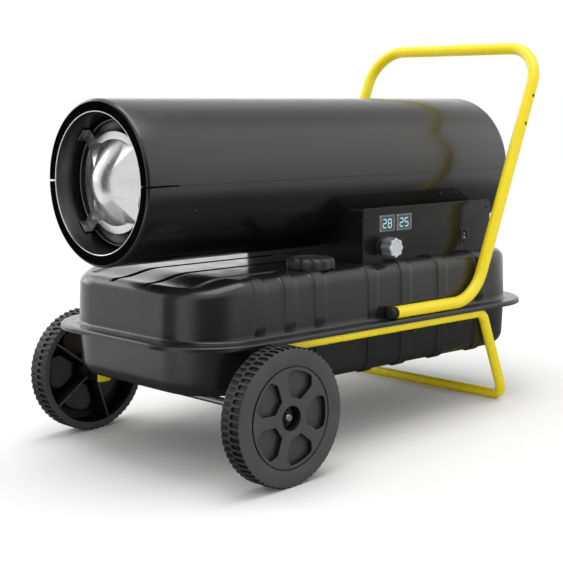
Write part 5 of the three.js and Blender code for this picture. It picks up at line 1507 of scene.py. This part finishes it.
def fan_blade():
    blade = bmesh.new()
    bmesh.ops.create_grid(blade, x_segments=10, y_segments=12, size=1)
    for vert in blade.verts:
        share = (vert.co.x + 1) / 2
        along = vert.co.y
        r = blade_root + (blade_tip - blade_root) * share
        pitch = math.radians(48 - 24 * share)
        half = 0.017 + 0.013 * share
        half *= 1 - 0.10 * smooth(0.8, 1.0, share) * abs(along)
        camber = 0.004 * (1 - along * along)
        forward = half * along * math.sin(pitch) - camber * math.cos(pitch)
        sideways = half * along * math.cos(pitch) + camber * math.sin(pitch)
        angle = sideways / max(r, 0.030)
        vert.co = (r * math.cos(angle), fan_depth + 0.016 + forward, r * math.sin(angle))
    bmesh.ops.recalc_face_normals(blade, faces=blade.faces)
    bmesh.ops.solidify(blade, geom=list(blade.faces), thickness=0.0012)
    return blade


fan = spun([(0.0054, fan_depth), (0.0170, fan_depth), (0.0205, fan_depth + 0.0012),
            (0.0220, fan_depth + 0.0042), (0.0220, fan_depth + 0.030),
            (0.0054, fan_depth + 0.030)], 64)
turned_copies(fan, fan_blade(), range(0, 360, 72))
barrel_piece("fan_wheel", fan, cast_alloy, ("fan",), "fan_rotor_body")

# %% [markdown]
# ## What stays as CAD
# Pieces inside the barrel and tank keep their CAD shape, which is right, and get the
# finish of the real one.

# %% Finishes for the CAD nodes
cad_finishes = {
    "zinc_steel": zinc_steel, "bright_steel": rim_steel, "rubber_black": soft_rubber,
    "satin_black": tank_black, "black_plastic": trim_black, "cap_plastic": cap_black,
    "gloss_black": barrel_black, "hot_steel": chamber_steel, "cast_alloy": cast_alloy,
    "brass": turned_brass, "ceramic": white_ceramic, "silver_plastic": knob_silver,
    "board_green": board_green, "display_grey": display_glass, "yellow_paint": tube_yellow,
    "wheel_plastic": wheel_grey,
}
for entry in frame["record"]["subparts"]:
    node = frame["nodes"][entry["node"]]
    for place in node.material_slots:
        place.material = cad_finishes[entry["material_slot"]]
painted_black = ["cord_gland"]
for word in ("right", "left"):
    painted_black += [f"axle_washer_{word}", f"split_pin_{word}", f"axle_spacer_{word}",
                      f"frame_bolt_{word}_1", f"frame_bolt_{word}_2"]
for name in painted_black:
    for place in frame["nodes"][name].material_slots:
        place.material = trim_black
print("CAD nodes finished:", len(frame["nodes"]))

# %% [markdown]
# ## Studio
# The photograph was lit by a white tent with a dark gap where the photographer stood. The
# air of this scene is such a tent: white overhead, to the left and behind, dark towards
# the camera. The paint is glossy, so what it mirrors gives it its shape. The floor is
# white and fades into the white behind it, and keeps the soft shadow. In mirrors it is
# dark on the panel's side, as the side of the tank shows in the photograph.

# %% Floor and backdrop
def smooth_range(tree, value, start, end, low, high):
    ramp = add_node(tree, "ShaderNodeMapRange", {"Value": value, "From Min": start,
                                                 "From Max": end, "To Min": low, "To Max": high})
    ramp.interpolation_type = "SMOOTHSTEP"
    return ramp.outputs["Result"]


def mixed(tree, share, usual, special):
    mix = add_node(tree, "ShaderNodeMixShader", {"Fac": share, 1: usual, 2: special})
    return mix.outputs["Shader"]


def studio_floor():
    material, shader = new_finish("studio_white", 0.9, specular=0.1)
    vary_colour(material, shader, noise_at(material, object_space(material), 2),
                grey(0.93), grey(0.95))
    tree = material.node_tree
    spot = add_node(tree, "ShaderNodeTexCoord", {}).outputs["Object"]
    from_middle = add_node(tree, "ShaderNodeVectorMath", {0: spot}, "LENGTH")
    from_dark_side = add_node(tree, "ShaderNodeVectorMath", {0: spot, 1: (0.5, 0.35, 0)},
                              "DISTANCE")
    brightness = smooth_range(tree, from_dark_side.outputs["Value"], 1.1, 1.7, 0.14, 0.94)
    dim = add_node(tree, "ShaderNodeBsdfDiffuse", {"Color": brightness})
    ray = add_node(tree, "ShaderNodeLightPath", {})
    surface = mixed(tree, ray.outputs["Is Glossy Ray"], shader.outputs["BSDF"],
                    dim.outputs["BSDF"])
    clear = add_node(tree, "ShaderNodeBsdfTransparent", {})
    surface = mixed(tree, smooth_range(tree, from_middle.outputs["Value"], 0.75, 2.2, 0, 1),
                    surface, clear.outputs["BSDF"])
    tree.links.new(surface, tree.nodes["Material Output"].inputs["Surface"])
    bm = bmesh.new()
    bmesh.ops.create_grid(bm, x_segments=2, y_segments=2, size=2.6)
    floor = loose_object("studio_floor", bm)
    floor.data.materials.append(material)


studio_floor()


def add_softbox(name, place, target, width, height, power):
    data = bpy.data.lights.new(name, "AREA")
    data.shape = "RECTANGLE"
    data.size = width
    data.size_y = height
    data.energy = power
    lamp = bpy.data.objects.new(name, data)
    bpy.context.scene.collection.objects.link(lamp)
    lamp.location = place
    lamp.rotation_euler = (Vector(target) - Vector(place)).to_track_quat("-Z", "Y").to_euler()


add_softbox("top_light", (0.1, 0.0, 2.6), (0, 0, 0.3), 2.2, 2.2, 34)
add_softbox("left_light", (-2.4, -0.7, 1.2), (0, 0, 0.3), 1.3, 1.5, 14)

# %% [markdown]
# The tent's brightness depends only on the direction one looks in. Darker and brighter
# spots are made with a dot product: how far the direction points towards the spot, ramped
# from plain white to the spot's strength. The front band ignores height, so it is a dark
# upright strip; it gives the tank's front corner its edge. The two glows are brighter than
# the rest and light the far side of the barrel.

# %% The tent
world = bpy.data.worlds.new("studio_tent")
world.use_nodes = True
bpy.context.scene.world = world
tent_tree = world.node_tree
looking = add_node(tent_tree, "ShaderNodeTexCoord", {}).outputs["Generated"]
path = add_node(tent_tree, "ShaderNodeLightPath", {})


def flattened(direction):
    flat = add_node(tent_tree, "ShaderNodeVectorMath", {0: direction, 1: (1, 1, 0)}, "MULTIPLY")
    unit = add_node(tent_tree, "ShaderNodeVectorMath", {0: flat.outputs["Vector"]}, "NORMALIZE")
    return unit.outputs["Vector"]


def spot_towards(direction, starts, ends, strength, seen_from=looking):
    dot = add_node(tent_tree, "ShaderNodeVectorMath",
                   {0: seen_from, 1: Vector(direction).normalized()}, "DOT_PRODUCT")
    return smooth_range(tent_tree, dot.outputs["Value"], starts, ends, 1.0, strength)


def times(a, b):
    return add_node(tent_tree, "ShaderNodeMath", {0: a, 1: b}, "MULTIPLY").outputs["Value"]


def white_air(strength):
    white = add_node(tent_tree, "ShaderNodeBackground",
                     {"Color": (1, 1, 1, 1), "Strength": strength})
    return white.outputs["Background"]


camera_gap = spot_towards((0.78, -0.62, 0.05), 0.72, 0.96, 0.08)
front_band = spot_towards((-0.485, -0.875, 0.0), 0.951, 0.974, 0.10, flattened(looking))
right_gap = spot_towards((0.90, 0.40, -0.40), 0.60, 0.98, 0.75)
upper_gap = spot_towards((-0.40, 0.70, 0.60), 0.80, 0.97, 0.62)
left_glow = spot_towards((-0.79, 0.53, 0.32), 0.75, 0.95, 1.45)
right_glow = spot_towards((0.60, 0.70, 0.40), 0.80, 0.97, 1.15)
tent = times(times(camera_gap, front_band), times(right_gap, upper_gap))
mirrored = white_air(times(tent, times(left_glow, right_glow)))
background = tent_tree.nodes["Background"]
background.inputs["Color"].default_value = (1, 1, 1, 1)
background.inputs["Strength"].default_value = 0.80
air = mixed(tent_tree, path.outputs["Is Glossy Ray"], background.outputs["Background"], mirrored)
air = mixed(tent_tree, path.outputs["Is Transmission Ray"], air, mirrored)
air = mixed(tent_tree, path.outputs["Is Camera Ray"], air, white_air(1.0))
tent_tree.links.new(air, tent_tree.nodes["World Output"].inputs["Surface"])
bpy.context.scene.view_settings.view_transform = "Standard"
